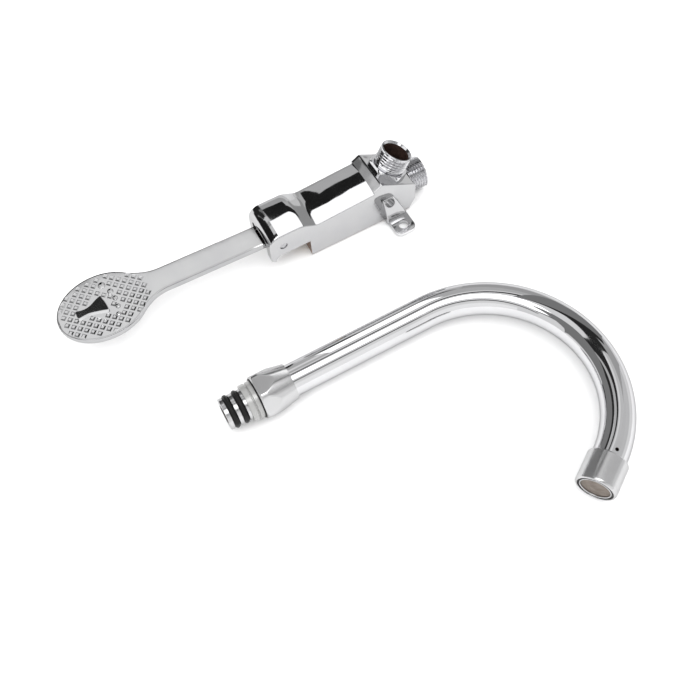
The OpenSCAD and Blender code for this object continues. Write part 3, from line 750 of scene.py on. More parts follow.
@dataclass
class Stub:
    """A threaded port: collar or neck, screw thread, mouth and bore."""

    name: str
    place: Matrix
    start: float
    shoulder: float
    length: float
    spigot_r: float
    bore_r: float
    narrow_r: float
    narrow_to: float
    # The hex collar's width across flats and its two ends, and the crown that cuts its corners
    collar_af: float = 0.0
    collar: Pair = (0.0, 0.0)
    collar_rows: int = 8
    corner_share: float = 1.13
    crown_from: float = 0.45
    crown_fall: float = 1.9
    seal_r: float = 0.0
    seal_top: float = 0.0
    land: float = 0.0
    chamfer: float = 0.5
    crest_r: float = 10.4775
    depth: float = 1.16
    pitch: float = 1.814
    rows_per_turn: int = 9
    neck_depth: float = 0.9
    # Where the thread starts to deepen over the shoulder, and the length over which it does
    run_in: Pair = (0.2, 1.2)
    run_in_depth: float = 0.4
    end_len: float = 0.6
    end_slope: float = 0.75
    # The plain land's soft start, as height over the thread and depth under the crest
    land_start: tuple[Pair, ...] = ((0.05, 0.62), (0.14, 0.34), (0.35, 0.22))
    # The land's rounded rim, as depth under the mouth and depth under the crest
    rim: tuple[Pair, ...] = ((0.4, 0.22), (0.16, 0.3), (0.0, 0.5))
    # The bore's soft edge, as depth under the mouth's chamfer and width past the bore
    bore_edge: tuple[Pair, ...] = ((-0.04, 0.12), (0.12, 0.0))
    taper: float = 0.4

    def thread_r(self, angle: float, height: float) -> float:
        """Gives the thread's radius, which runs in at the shoulder and is chamfered at its end.

        Args:
            angle: the angle round the axis.
            height: the height along the axis.

        Returns:
            The radius.
        """
        up = height - self.shoulder
        fade = min(1.0, max(0.0, (up - self.run_in[0]) / self.run_in[1]))
        wave = 0.5 - 0.5 * math.cos(TURN * (up / self.pitch - angle / TURN))
        screw = self.crest_r - self.depth * wave * fade - self.run_in_depth * (1 - fade)
        chamfer = self.crest_r - max(0.0, height - self.length + self.land + self.end_len) * self.end_slope
        return min(screw, chamfer)

    def collar_r(self, angle: float, height: float) -> float:
        """Gives the radius of the hex collar with its crowned top.

        Args:
            angle: the angle round the axis.
            height: the height along the axis.

        Returns:
            The radius.
        """
        low, high = self.collar
        past = max(0.0, (height - low) / (high - low) - self.crown_from)
        crown = self.collar_af / 2 * self.corner_share - self.crown_fall * past ** 1.5
        return min(hexagon(self.collar_af / 2, angle), crown)

    def build(self) -> Piece:
        """Makes the port.

        Returns:
            The piece, in millimetres.
        """
        rings: list[Ring] = []
        sides: list[Side] = []

        def shaped(height: float, radius: Callable[[float], float], side: Side = Side.OUTER) -> None:
            """Adds a ring whose radius changes round it."""
            rings.append(spun(self.place, height, radius))
            sides.append(side)

        def plain(height: float, radius: float, side: Side = Side.OUTER) -> None:
            """Adds a round ring."""
            shaped(height, lambda a: radius, side)

        end, bore, crest = self.length, self.bore_r, self.crest_r
        plain(self.start, self.spigot_r)
        if self.collar_af:
            low, high = self.collar
            plain(self.seal_top, self.spigot_r)
            plain(self.seal_top, self.seal_r)
            plain(low, self.seal_r)
            for k in range(self.collar_rows + 1):
                height = low + (high - low) * k / self.collar_rows
                shaped(height, lambda a, h=height: self.collar_r(a, h))
            plain(high, crest - self.neck_depth)
            plain(self.shoulder, crest - self.neck_depth)
        else:
            plain(self.shoulder, self.spigot_r)
        thread = end - self.land - self.shoulder
        rows = int(thread / self.pitch * self.rows_per_turn)
        for k in range(rows + 1):
            height = self.shoulder + thread * k / rows
            shaped(height, lambda a, h=height: self.thread_r(a, h))
        # The land's rim, the mouth's chamfer and the bore's soft edge take the darker rim chrome: painted
        # shade
        if self.land:
            for up, inset in self.land_start:
                plain(end - self.land + up, crest - inset)
            for (down, inset), side in zip(self.rim, (Side.OUTER, Side.BRIGHT, Side.BRIGHT)):
                plain(end - down, crest - inset, side)
        plain(end, bore + self.chamfer, Side.BRIGHT)
        for (down, width), side in zip(self.bore_edge, (Side.BRIGHT, Side.INNER)):
            plain(end - self.chamfer - down, bore + width, side)
        plain(self.narrow_to, bore, Side.INNER)
        plain(self.narrow_to - self.taper, self.narrow_r, Side.INNER)
        plain(self.start, self.narrow_r, Side.INNER)
        draft = Draft()
        draft.shell(rings, sides)
        return draft.solid(self.name)


@dataclass
class ValveBody:
    """The chromed casting: hood, waist, block, sloped port face and fixing ear."""

    half_w: float = 15.0
    lip: float = 0.4
    crown_step: float = 1.8
    hood_x: float = -63.5
    hood_end: float = -40.2
    hood_top: float = 36.0
    hood_edge: float = 32.5
    hood_low: float = 14.4
    hood_nose: float = 8.0
    hood_rows: tuple[float, ...] = (-52.0, -46.0)
    # The hood's legs: length and rise of their slanted front, their flat, and loft rows from the hood's front
    leg_low: float = 10.2
    leg_front: Pair = (2.0, 2.1)
    leg_len: float = 3.0
    leg_rows: tuple[float, ...] = (2.0, 3.0, 3.1, 3.4, 4.0, 4.8, 5.7, 6.6, 7.2)
    # The block's front face, with the steps and the number of loft rows before it and behind it
    front_x: float = -36.0
    front_steps: Pair = (0.5, 0.6)
    front_rows: tuple[int, int] = (16, 21)
    waist_x: float = -30.2
    waist_top: float = 29.55
    waist_edge: float = 27.6
    waist_soft: Pair = (2.6, 2.4)
    block_rows: tuple[float, ...] = (-20.0, -12.0, -4.0, 4.0)
    facet_x: float = 10.9
    facet_top: float = 32.2
    facet_edge: float = 30.2
    ridge_x: float = 16.4
    ridge_z: float = 35.57
    ridge_soft: float = 0.45
    ridge_step: float = 0.2
    roof_rows: tuple[float, ...] = (13.0, 22.0, 30.0)
    foot_x: float = 36.0
    rear_x: float = 40.5
    rear_z: float = 21.66
    rear_low: float = 8.0
    rear_round: float = 1.1
    rear_rows: tuple[float, ...] = (0.7, 0.3, 0.1, 0.0)
    rear_boss_x: float = 25.0
    rear_boss_r: float = 11.2
    rear_boss_top: float = 17.5
    ear_x: Pair = (17.8, 31.8)
    ear_y: Pair = (-32.5, -10.0)
    ear_r: float = 4.0
    ear_t: float = 3.0
    ear_soft: float = 0.5
    ear_hole: Pair = (24.8, -26.4)
    ear_hole_r: float = 3.25
    boss_x: Pair = (16.8, 29.8)
    boss_low: float = 0.5
    boss_out: float = 20.2
    boss_foot: float = 7.5
    boss_top: float = 20.5
    boss_tip_x: float = 24.2
    boss_soft: float = 0.7
    boss_hole: Triple = (21.2, -16.56, 16.6)
    boss_hole_r: float = 3.1
    pocket_x: float = -60.5
    pocket_half: float = 12.0
    pocket_top: float = 31.5
    pocket_soft: float = 1.6
    slot_x: float = -59.0
    slot_half: float = 9.2
    slot_top: float = 27.4
    slot_soft: float = 2.4
    slot_rise: float = 2.4
    pin_hole_r: float = 2.55
    rise_r: float = 4.7

    def low(self, x: float) -> float:
        """Gives the lower edge of the side: the rear foot's rise, or the hood's legs.

        Args:
            x: the place along the valve.

        Returns:
            The height.
        """
        if x > self.front_x:
            return max(0.0, (x - self.foot_x) / (self.rear_x - self.foot_x) * self.rear_low)
        ahead = x - self.hood_x
        drop = self.hood_low - self.leg_low
        slant, rise = self.leg_front
        if ahead < slant:
            return self.leg_low + rise * (1 - ahead / slant)
        if ahead < self.leg_len:
            return self.leg_low
        if ahead < self.leg_len + drop:
            return self.leg_low + math.sqrt(drop ** 2 - (self.leg_len + drop - ahead) ** 2)
        return self.hood_low

    def section(self, x: float, crest: float, edge: float, low: float) -> tuple[Ring, Ring]:
        """Gives one cross-section of the casting.

        Args:
            x: its place along the valve.
            crest: height of the top on the centre plane.
            edge: height of the top at the sides.
            low: height of the lower edge.

        Returns:
            The row over the top, from side to side, and the row along the bottom.
        """
        w, foot = self.half_w, low + self.lip

        def crown(y: float) -> float:
            """Gives the top's height at a width."""
            return max(foot, edge + (crest - edge) * (1 - (y / w) ** 2))

        wall = [(-w, foot), (-w, max(foot, self.hood_low + self.lip))]
        corner = [(0.0, crown(w) - 0.7), (0.09, crown(w) - 0.34), (0.32, crown(w - 0.32) - 0.09),
                  (0.75, crown(w - 0.75))]
        near = wall + [(inset - w, max(z, foot)) for inset, z in corner]
        middle = [(self.crown_step * k, crown(self.crown_step * k)) for k in range(-7, 8)]
        top = near + middle + [(-y, z) for y, z in reversed(near)]
        slant = low
        if x <= self.front_x:
            slant += self.slot_rise * max(0.0, (self.hood_low - low) / (self.hood_low - self.leg_low))
        half = [(-w, foot), (self.lip - w, low), (-self.slot_half, slant)]
        bottom = half + [(-y, z) for y, z in reversed(half)]
        return [Vector((x, y, z)) for y, z in top], [Vector((x, y, z)) for y, z in bottom]

    def rows(self) -> list[tuple[Ring, Ring, Side]]:
        """Gives the casting's cross-sections, closer together where it curves.

        Returns:
            The rows over the top and along the bottom, and the finish of the face behind the bottom row.
        """
        crest = soft_line([(self.hood_x, self.hood_top), (self.hood_end, self.hood_top),
                           (self.waist_x, self.waist_top), (self.facet_x, self.facet_top)], self.waist_soft)
        edge = soft_line([(self.hood_x, self.hood_edge), (self.hood_end, self.hood_edge),
                          (self.waist_x, self.waist_edge), (self.facet_x, self.facet_edge)], self.waist_soft)
        roof = soft_line([(self.facet_x, self.facet_top), (self.ridge_x, self.ridge_z),
                          (self.rear_x, self.rear_z)], [self.ridge_soft])
        nose_x = self.hood_x + self.hood_nose

        def drop(x: float) -> float:
            """Gives how far the hood's rounded front end lies below its top."""
            return math.sqrt(max(0.0, self.hood_nose ** 2 - min(0.0, x - nose_x) ** 2)) - self.hood_nose

        def round_off(x: float) -> float:
            """Gives how far the rounded rear edge lies below the roof."""
            t = min(1.0, max(0.0, (x - self.rear_x + self.rear_round) / self.rear_round))
            return self.rear_round * (1 - math.sqrt(1 - t ** 2))

        hood = [x for x, _ in arc((nose_x, 0), self.hood_nose, 180, -9, 11)]
        hood += [self.hood_x + d for d in self.leg_rows]
        before, behind = self.front_steps
        hood += [*self.hood_rows, *(self.front_x - before * (k + 1) for k in range(self.front_rows[0]))]
        block = [self.front_x + before + behind * k for k in range(self.front_rows[1])]
        stations = [(x, self.low(x), Side.OUTER) for x in sorted({round(x, 4) for x in hood})]
        stations += [(self.front_x, self.hood_low, Side.INNER), (self.front_x, 0.0, Side.OUTER)]
        stations += [(x, 0.0, Side.OUTER) for x in (*block, *self.block_rows, self.facet_x)]
        rows = [(*self.section(x, crest(x) + drop(x), edge(x) + drop(x), low), side)
                for x, low, side in stations]
        ridge = [self.ridge_x + self.ridge_step * k for k in range(-3, 4)]
        rear = [self.rear_x - d for d in (self.rear_round, *self.rear_rows)]
        for x in sorted([self.facet_x, *self.roof_rows, *ridge, self.foot_x, *rear]):
            z = roof(x) - round_off(x)
            rows.append((*self.section(x, z, z, self.low(x)), Side.OUTER))
        return rows

    def casting(self) -> Piece:
        """Lofts the outside of the casting.

        Returns:
            The closed outside, in millimetres.
        """
        rows = self.rows()
        draft = Draft()
        for top, under, _ in (rows[0], rows[-1]):
            draft.face(top + under[-2:0:-1])
        for (top, under, side), (next_top, next_under, _) in zip(rows, rows[1:]):
            draft.band(top, next_top, closed=False)
            on_floor = max(abs(under[1].z), abs(next_under[1].z)) < 1e-6
            draft.band(under, next_under, Side.INNER if on_floor else side, closed=False)
        return draft.solid("valve_casting")

    def ear(self) -> Piece:
        """Makes the screw ear with its sloped boss.

        Returns:
            The ear, in millimetres.
        """
        (x0, x1), (y0, y1), r = self.ear_x, self.ear_y, self.ear_r
        near, far = arc((x0 + r, y0 + r), r, 180, 15, 7), arc((x1 - r, y0 + r), r, 270, 15, 7)
        outline = [(x0, y1), *near, *far, (x1, y1)]
        # The ear's plate takes the lighter chrome: painted light
        plate = prism("ear", outline, 0.0, self.ear_t, FLAT, self.ear_soft, Side.BRIGHT)
        slope = [(y1, self.boss_low), (-self.boss_out, self.boss_low), (-self.boss_out, self.boss_foot),
                 (-self.half_w, self.boss_top), (y1, self.boss_top)]
        boss = prism("boss", slope, *self.boss_x, END_ON)
        over_x, over_z = 33.0, 24.0
        corner = [(self.boss_tip_x, self.boss_top), (self.boss_x[1], self.boss_foot),
                  (over_x, self.boss_foot), (over_x, over_z), (self.boss_tip_x, over_z)]
        work(boss, prism("boss_corner", corner, 5.0, 30.0, SIDE_ON), Cut.REMOVE)
        return work(plate, softened(boss, self.boss_soft), Cut.JOIN)

    def build(self) -> Piece:
        """Makes the casting with its pocket, slot and holes.

        Returns:
            The piece, in millimetres.
        """
        body = work(self.casting(), self.ear(), Cut.JOIN)
        ring = [(y, min(z + WAY_Z, self.rear_boss_top)) for y, z in disc(self.rear_boss_r, 72)]
        work(body, prism("rear_boss", ring, self.rear_boss_x, self.rear_x + PAST, END_ON), Cut.JOIN)
        below, wall_x, half = -4.0, self.front_x + PAST, self.slot_half
        pocket = rounded([(self.pocket_x, below), (self.pocket_x, self.pocket_top), (wall_x, self.pocket_top),
                          (wall_x, below)], self.pocket_soft, 4)
        slot = rounded([(-half, below), (-half, self.slot_top), (half, self.slot_top), (half, below)],
                       self.slot_soft, 5)
        slope = (0, self.boss_foot - self.boss_top, self.boss_out - self.half_w)
        cutters = (
            prism("pocket", pocket, -self.pocket_half, self.pocket_half, SIDE_ON, side=Side.INNER),
            prism("slot", slot, -70.0, self.slot_x, END_ON),
            prism("pivot_hole", disc(self.pin_hole_r, 40), -20, 20, HINGE),
            prism("ear_hole", disc(self.ear_hole_r), -2, 6, unit_frame((*self.ear_hole, 0), (0, 0, 1))),
            prism("boss_hole", disc(self.boss_hole_r), -4, 8, unit_frame(self.boss_hole, slope)),
            prism("rise", disc(self.rise_r), -15, 6, OUTLET, side=Side.INNER),
        )
        for cutter in cutters:
            work(body, cutter, Cut.REMOVE)
        return body


@dataclass
class PedalLever:
    """The oval tread with its grip points and foot sign, the arm, the hub and the heel."""

    tread_x: float = -168.5
    tread_a: float = 28.5
    tread_b: float = 23.0
    tread_top: float = 27.5
    tread_t: float = 4.5
    neck: float = 19.0
    neck_angle: float = math.radians(42)
    # Where the lever bends down to the hood, and the length over which it gets thicker there
    bend_x: float = -140.0
    bend_soft: float = 5.0
    swell: float = 15.0
    arm_half: float = 8.2
    arm_t: float = 5.0
    # Place and height of the arm's top where it enters the hood
    arm_low: Pair = (-63.5, 23.7)
    arm_rows: tuple[float, ...] = (-126, -123, -118, -110, -100, -90, -80, -70, -62, -56)
    edge: float = 1.3
    hub_r: float = 5.75
    hub_half: float = 11.0
    hub_bore: float = 3.57
    hub_soft: float = 0.6
    core_half: float = 6.0
    core_inset: float = 0.4
    heel_half: float = 7.0
    # The heel's root before and behind the pivot
    heel_root: Pair = (-4.6, 5.2)
    heel_soft: float = 0.7
    nose: Pair = (-47.8, 11.5)
    nose_r: float = 4.0
    sole_marks: tuple[Pair, ...] = (
        (-184.8, 0.2), (-184.3, -2.7), (-181.0, -2.6), (-177.2, -2.6), (-172.0, -4.1), (-169.0, -5.1),
        (-166.2, -5.9), (-165.9, -2.5), (-166.1, 0.8), (-166.6, 3.8), (-167.1, 6.4), (-170.2, 5.5),
        (-173.8, 3.5), (-176.5, 2.5), (-179.1, 2.2), (-181.8, 2.6), (-184.2, 3.2))
    # The sole's layers from its root up, as depth inside its outline and height over the tread
    sole_layers: tuple[Pair, ...] = ((-0.9, -0.4), (-0.9, 0.02), (0.0, 0.8), (0.1, 0.92), (0.4, 1.0))
    sole_y: float = 0.8
    sole_tilt: float = -0.075
    # A toe's section, as share of its radius and height over the tread
    toe_dome: tuple[Pair, ...] = ((0.0, -0.4), (1.0, -0.4), (1.0, 0.2), (0.86, 0.62), (0.55, 0.9), (0.0, 1.0))
    toes: tuple[Triple, ...] = ((-163.6, 13.3, 2.3), (-160.6, 6.6, 1.9), (-159.8, 0.6, 1.7),
                                (-160.4, -5.6, 1.6), (-162.3, -10.9, 1.5))
    grip_at: Pair = (-159.0, 18.2)
    grip_step: float = 3.0052
    grip_base: float = 2.5
    grip_flat: float = 1.05
    grip_height: float = 0.5
    grip_root: float = 0.15
    grip_inset: float = 1.6
    grip_limit: float = 0.985
    # Where grips also stand on the neck, past the oval
    grip_neck: Pair = (-150.0, -140.0)
    grip_neck_inset: float = 2.4
    sole_room: float = 1.5
    toe_room: float = 1.2

    def neck_x(self) -> float:
        """Gives where the tread's oval passes into the neck."""
        return self.tread_x + self.tread_a * math.cos(self.neck_angle)

    def half_width(self, x: float) -> float:
        """Gives half the width of tread and arm.

        Args:
            x: the place along the lever.

        Returns:
            Half the width.
        """
        u = (x - self.tread_x) / self.tread_a
        if u < math.cos(self.neck_angle):
            return self.tread_b * math.sqrt(max(0.0, 1 - u * u))
        t = min(1.0, (x - self.neck_x()) / self.neck)
        return self.arm_half + (self.tread_b * math.sin(self.neck_angle) - self.arm_half) * (1 - t) ** 2

    def top(self, x: float) -> float:
        """Gives the height of the upper side at a length."""
        start = (self.tread_x - self.tread_a, self.tread_top)
        return soft_line([start, (self.bend_x, self.tread_top), self.arm_low], [self.bend_soft])(x)

    def thickness(self, x: float) -> float:
        """Gives the thickness at a length."""
        t = min(1.0, max(0.0, (x - self.bend_x) / self.swell))
        return self.tread_t + (self.arm_t - self.tread_t) * t

    def plate(self) -> Piece:
        """Makes tread and arm in one, with a rounded edge all round.

        Returns:
            The plate, in millimetres.
        """
        lengths = [x for x, _ in arc((self.tread_x, 0), self.tread_a, 180, -3, 46)]
        lengths += [self.neck_x() + self.neck * k / 12 for k in range(13)]
        lengths += self.arm_rows
        upper = [Vector((x, self.half_width(x))) for x in lengths]
        outline = upper + [Vector((p.x, -p.y)) for p in reversed(upper[1:])]
        outward = left_of(outline)
        bulge = self.edge * 0.29
        rounding = [(self.edge, 0.0), (bulge, bulge), (0.0, self.edge)]
        layers: list[Ring] = []
        for inset, up in rounding:
            layers.append([Vector((*(p - n * inset), self.top(p.x) - self.thickness(p.x) + up))
                           for p, n in zip(outline, outward)])
        for inset, down in reversed(rounding):
            layers.append([Vector((*(p - n * inset), self.top(p.x) - down))
                           for p, n in zip(outline, outward)])
        draft = Draft()
        # All bands of the rounded edge but the top one take the lever's darker chrome: painted shade
        finishes = [Side.INNER] * 4 + [Side.OUTER]
        for low, high, side in zip(layers, layers[1:], finishes):
            draft.band(low, high, side)
        for ring in (layers[0], layers[-1]):
            for i in range(len(upper) - 1):
                draft.face((ring[i], ring[i + 1], ring[-i - 1], ring[-i]))
        return draft.solid("lever_plate")

    def sole(self, steps: int = 4) -> list[Vector]:
        """Gives the outline of the foot sign's sole, as a smooth curve through its marks.

        Args:
            steps: points from mark to mark.

        Returns:
            The outline.
        """
        out: list[Vector] = []
        count = len(self.sole_marks)
        for i in range(count):
            a, b, c, d = (Vector(self.sole_marks[(i + k) % count]) for k in (-1, 0, 1, 2))
            for t in (k / steps for k in range(steps)):
                run = 2 * b + (c - a) * t + (2 * a - 5 * b + 4 * c - d) * t * t
                out.append(0.5 * (run + (3 * b - a - 3 * c + d) * t ** 3))
        return out

    def foot_sign(self) -> list[Piece]:
        """Makes the raised bare-foot sign: a sole with one sloped flank, and five toes.

        Returns:
            The solids, in millimetres.
        """
        outline = self.sole()
        rings: list[Ring] = []
        for inset, up in self.sole_layers:
            ring: Ring = []
            for p, n in zip(outline, left_of(outline)):
                place = p + n * inset * (max(0.0, n.y) if inset < 0 else 1.0)
                tilt = self.sole_tilt * (place.y - self.sole_y) if up > 0.5 else 0.0
                ring.append(Vector((*place, self.tread_top + up + tilt)))
            rings.append(ring)
        sole = Draft()
        sole.loft(rings)
        solids = [sole.solid("sole")]
        for k, (x, y, r) in enumerate(self.toes):
            dome = [(r * share, height) for share, height in self.toe_dome]
            toe = Draft()
            toe.loft(turned(dome, Matrix.Translation((x, y, self.tread_top)), 24))
            solids.append(toe.solid(f"toe_{k}"))
        return solids

    def oval(self, x: float, y: float, inset: float) -> float:
        """Gives how far out a place lies on the tread, where 1 is the oval's rim less an inset."""
        return math.hypot((x - self.tread_x) / (self.tread_a - inset), y / (self.tread_b - inset))

    def grip_fits(self, x: float, y: float, sole: Sequence[Vector]) -> bool:
        """Tells whether a grip stands at a place: on the tread, clear of the foot sign.

        Args:
            x: the place along the lever.
            y: the place across it.
            sole: the outline of the sole.

        Returns:
            Whether the grip stands there.
        """
        low, high = self.grip_neck
        on_neck = low < x < high and abs(y) < self.half_width(x) - self.grip_neck_inset
        if self.oval(x, y, self.grip_inset) > self.grip_limit and not on_neck:
            return False
        if min((Vector((x, y)) - p).length for p in sole) < self.sole_room or self.inside(x, y, sole):
            return False
        return all(math.hypot(x - tx, y - ty) >= tr + self.toe_room for tx, ty, tr in self.toes)

    def grips(self, reach: int = 24) -> Piece:
        """Makes the small flat-topped pyramids that cover the tread.

        Args:
            reach: grips to each side of the first one that are tried.

        Returns:
            The grips as one solid, in millimetres.
        """
        draft = Draft()
        sole = self.sole()
        step, rows = self.grip_step, range(-reach, reach + 1)
        for i, j in ((i, j) for i in rows for j in rows):
            x, y = self.grip_at[0] + step * (i + j), self.grip_at[1] + step * (j - i)
            if self.grip_fits(x, y, sole):
                low = self.square(x, y, self.grip_base, -self.grip_root)
                high = self.square(x, y, self.grip_flat, self.grip_height)
                draft.index.clear()
                draft.loft([[self.kept(p) for p in low], high])
        return draft.solid("grips")

    def square(self, x: float, y: float, half: float, up: float) -> Ring:
        """Gives a square that stands on its corner, at a place and a height over the tread."""
        corners = ((1, 0), (0, 1), (-1, 0), (0, -1))
        return [Vector((x + half * dx, y + half * dy, self.tread_top + up)) for dx, dy in corners]

    def kept(self, p: Vector, rim: float = 1.0) -> Vector:
        """Pulls a grip's corner back onto the tread's flat top.

        Args:
            p: the corner.
            rim: width of the tread's rim.

        Returns:
            The corner, or the place on the rim's inner edge that it is pulled to.
        """
        u = self.oval(p.x, p.y, rim)
        if p.x > self.tread_x + 20 or u <= 1:
            return p
        return Vector((self.tread_x + (p.x - self.tread_x) / u, p.y / u, p.z))

    @staticmethod
    def inside(x: float, y: float, outline: Sequence[Vector]) -> bool:
        """Tells whether a place lies inside an outline.

        Args:
            x: the place along the lever.
            y: the place across it.
            outline: the outline.

        Returns:
            Whether the place lies inside.
        """
        hit = False
        for a, b in zip(outline, [*outline[1:], outline[0]]):
            if (a.y > y) != (b.y > y) and x < (b.x - a.x) * (y - a.y) / (b.y - a.y) + a.x:
                hit = not hit
        return hit

    def build(self) -> Piece:
        """Makes the lever.

        Returns:
            The piece, in millimetres.
        """
        lever = self.plate()
        root = [(PIVOT[0] + d, PIVOT[1]) for d in self.heel_root]
        heel = root + arc(self.nose, self.nose_r, 10, -14, 15)
        work(lever, prism("heel", heel, -self.heel_half, self.heel_half, SIDE_ON, self.heel_soft), Cut.JOIN)
        core = Draft()
        core_r = self.hub_r - self.core_inset
        core.loft(turned(washer(0.0, core_r, -self.core_half, self.core_half), HINGE, 48))
        work(lever, core.solid("hub_core"), Cut.JOIN)
        barrel = washer(self.hub_bore, self.hub_r, -self.hub_half, self.hub_half)
        work(lever, turned_solid("hub", barrel, HINGE, 64, self.hub_soft), Cut.JOIN)
        work(lever, prism("bush_hole", disc(self.hub_bore), -20, 20, HINGE), Cut.REMOVE)
        return merged("lever_casting", [lever, self.grips(), *self.foot_sign()])


@dataclass
class PedalValve:
    """The valve: casting, lever, ports, stem parts and seals."""

    pin_r: float = 2.5
    pin_half: float = 14.5
    spring_x: Pair = (35.65, 46.2)
    spring_r: float = 5.5
    # Radius and ends of the spring's room in the inlet port
    spring_room: Triple = (7.6, 30.0, 46.5)
    wire_r: float = 0.5
    turns: int = 5
    # The gland's head start, head end and shank end, radii of head and shank, and radius, place and slope of
    # the chamfer that cuts the head's corners
    gland_bore: float = 3.05
    gland_x: Triple = (-39.5, -37.0, -20.0)
    gland_r: Pair = (10.9, 7.5)
    gland_soft: float = 0.4
    gland_af: float = 19.0
    gland_crown: Triple = (10.75, -38.9, 1.6)
    # The stem's rod and its thinner end: radii, and start, step and end
    stem_r: Pair = (3.0, 2.0)
    stem_x: Triple = (-43.5, 31.35, 38.8)
    gasket_r: Pair = (7.02, 9.4)
    gasket_h: Pair = (0.02, 0.78)

    def spring(self, steps: int = 40) -> Piece:
        """Winds the return spring.

        Args:
            steps: rings in each turn.

        Returns:
            The piece, in millimetres.
        """
        count = self.turns * steps
        rings: list[Ring] = []
        low, high = self.spring_x[0] + self.wire_r, self.spring_x[1] - self.wire_r
        along = Vector((1, 0, 0))
        for k in range(count + 1):
            angle = TURN * self.turns * k / count
            out = Vector((0, math.cos(angle), math.sin(angle)))
            middle = Vector((low + (high - low) * k / count, 0, WAY_Z)) + out * self.spring_r
            rings.append([middle + (out * math.cos(a) + along * math.sin(a)) * self.wire_r
                          for a in angles(10)])
        draft = Draft()
        draft.loft(rings)
        return draft.solid("spring_wire")

    def gland(self) -> Piece:
        """Makes the hex-headed gland bush.

        Returns:
            The piece, in millimetres.
        """
        start, under, end = self.gland_x
        head_r, shank_r = self.gland_r
        crown_r, crown_x, slope = self.gland_crown
        section = rounded([(self.gland_bore, start), (head_r, start), (head_r, under), (shank_r, under),
                           (shank_r, end), (self.gland_bore, end)], self.gland_soft)

        def hexed(angle: float, radius: float, height: float) -> float:
            """Gives the head's flats, and leaves the shank and the bore round."""
            crown = crown_r - max(0.0, crown_x - height) * slope
            return min(radius, hexagon(self.gland_af / 2, angle), crown) if radius > shank_r + 0.5 else radius

        draft = Draft()
        draft.shell([spun(WAY, height, lambda a, r=radius, h=height: hexed(a, r, h))
                     for radius, height in section])
        return draft.solid("gland_fitting")

    def outlet_port(self) -> Piece:
        """Makes the leaning outlet port with its hex collar."""
        return Stub("outlet_port", OUTLET, start=-3.5, shoulder=4.2, length=15.4, spigot_r=7.0, bore_r=8.4,
                    narrow_r=4.7, narrow_to=2.2, collar_af=23.0, collar=(0.03, 3.4), seal_r=9.42,
                    seal_top=0.8, land=1.6, chamfer=1.2, end_slope=0.6).build()

    def inlet_port(self) -> Piece:
        """Makes the inlet port and opens its spring chamber.

        Returns:
            The piece, in millimetres.
        """
        port = Stub("inlet_port", WAY, start=35.2, shoulder=41.3, length=53.5, spigot_r=9.0, bore_r=8.2,
                    narrow_r=4.8, narrow_to=48.5).build()
        radius, low, high = self.spring_room
        return work(port, prism("spring_room", disc(radius, 64), low, high, WAY, side=Side.INNER), Cut.REMOVE)

    def build(self) -> None:
        """Makes and dresses every piece of the valve."""
        casting_finishes = [CAST_CHROME, RAW_BRASS, EAR_PAINTED_LIGHT]
        # The ports' bores take brass with painted shade, their rims a darker chrome with painted shade
        port_finishes = [THREAD_CHROME, BORE_BRASS_SHADED, RIM_PAINTED_SHADE]
        finished(ValveBody().build(), "valve", casting_finishes, "valve_body", 30)
        finished(PedalLever().build(), "lever", [LEVER_CHROME, LEVER_EDGE_SHADE], "pedal_lever", 30)
        finished(self.outlet_port(), "valve", port_finishes, "outlet_nipple", 40)
        finished(self.inlet_port(), "valve", port_finishes, "inlet_nipple", 40)
        pin = turned_solid("pin", washer(CORE, self.pin_r, -self.pin_half, self.pin_half), HINGE, 48, 0.5)
        finished(pin, "valve", [DRAWN_STEEL], "pivot_pin")
        spring = finished(self.spring(), "valve", [DRAWN_STEEL], "return_spring")
        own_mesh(spring)
        finished(self.gland(), "valve", [TURNED_BRASS], "gland_bush")
        (rod_r, pin_r), (start, step, end) = self.stem_r, self.stem_x
        rod = [(CORE, start), (rod_r, start), (rod_r, step), (pin_r, step), (pin_r, end), (CORE, end)]
        finished(turned_solid("stem", rod, WAY, 48, 0.6), "stem", [TURNED_BRASS], "push_stem")
        gasket = turned_solid("port_gasket", washer(*self.gasket_r, *self.gasket_h), OUTLET, 72)
        finished(gasket, "valve", [SEAL_RUBBER], "outlet_seal")


# The spout


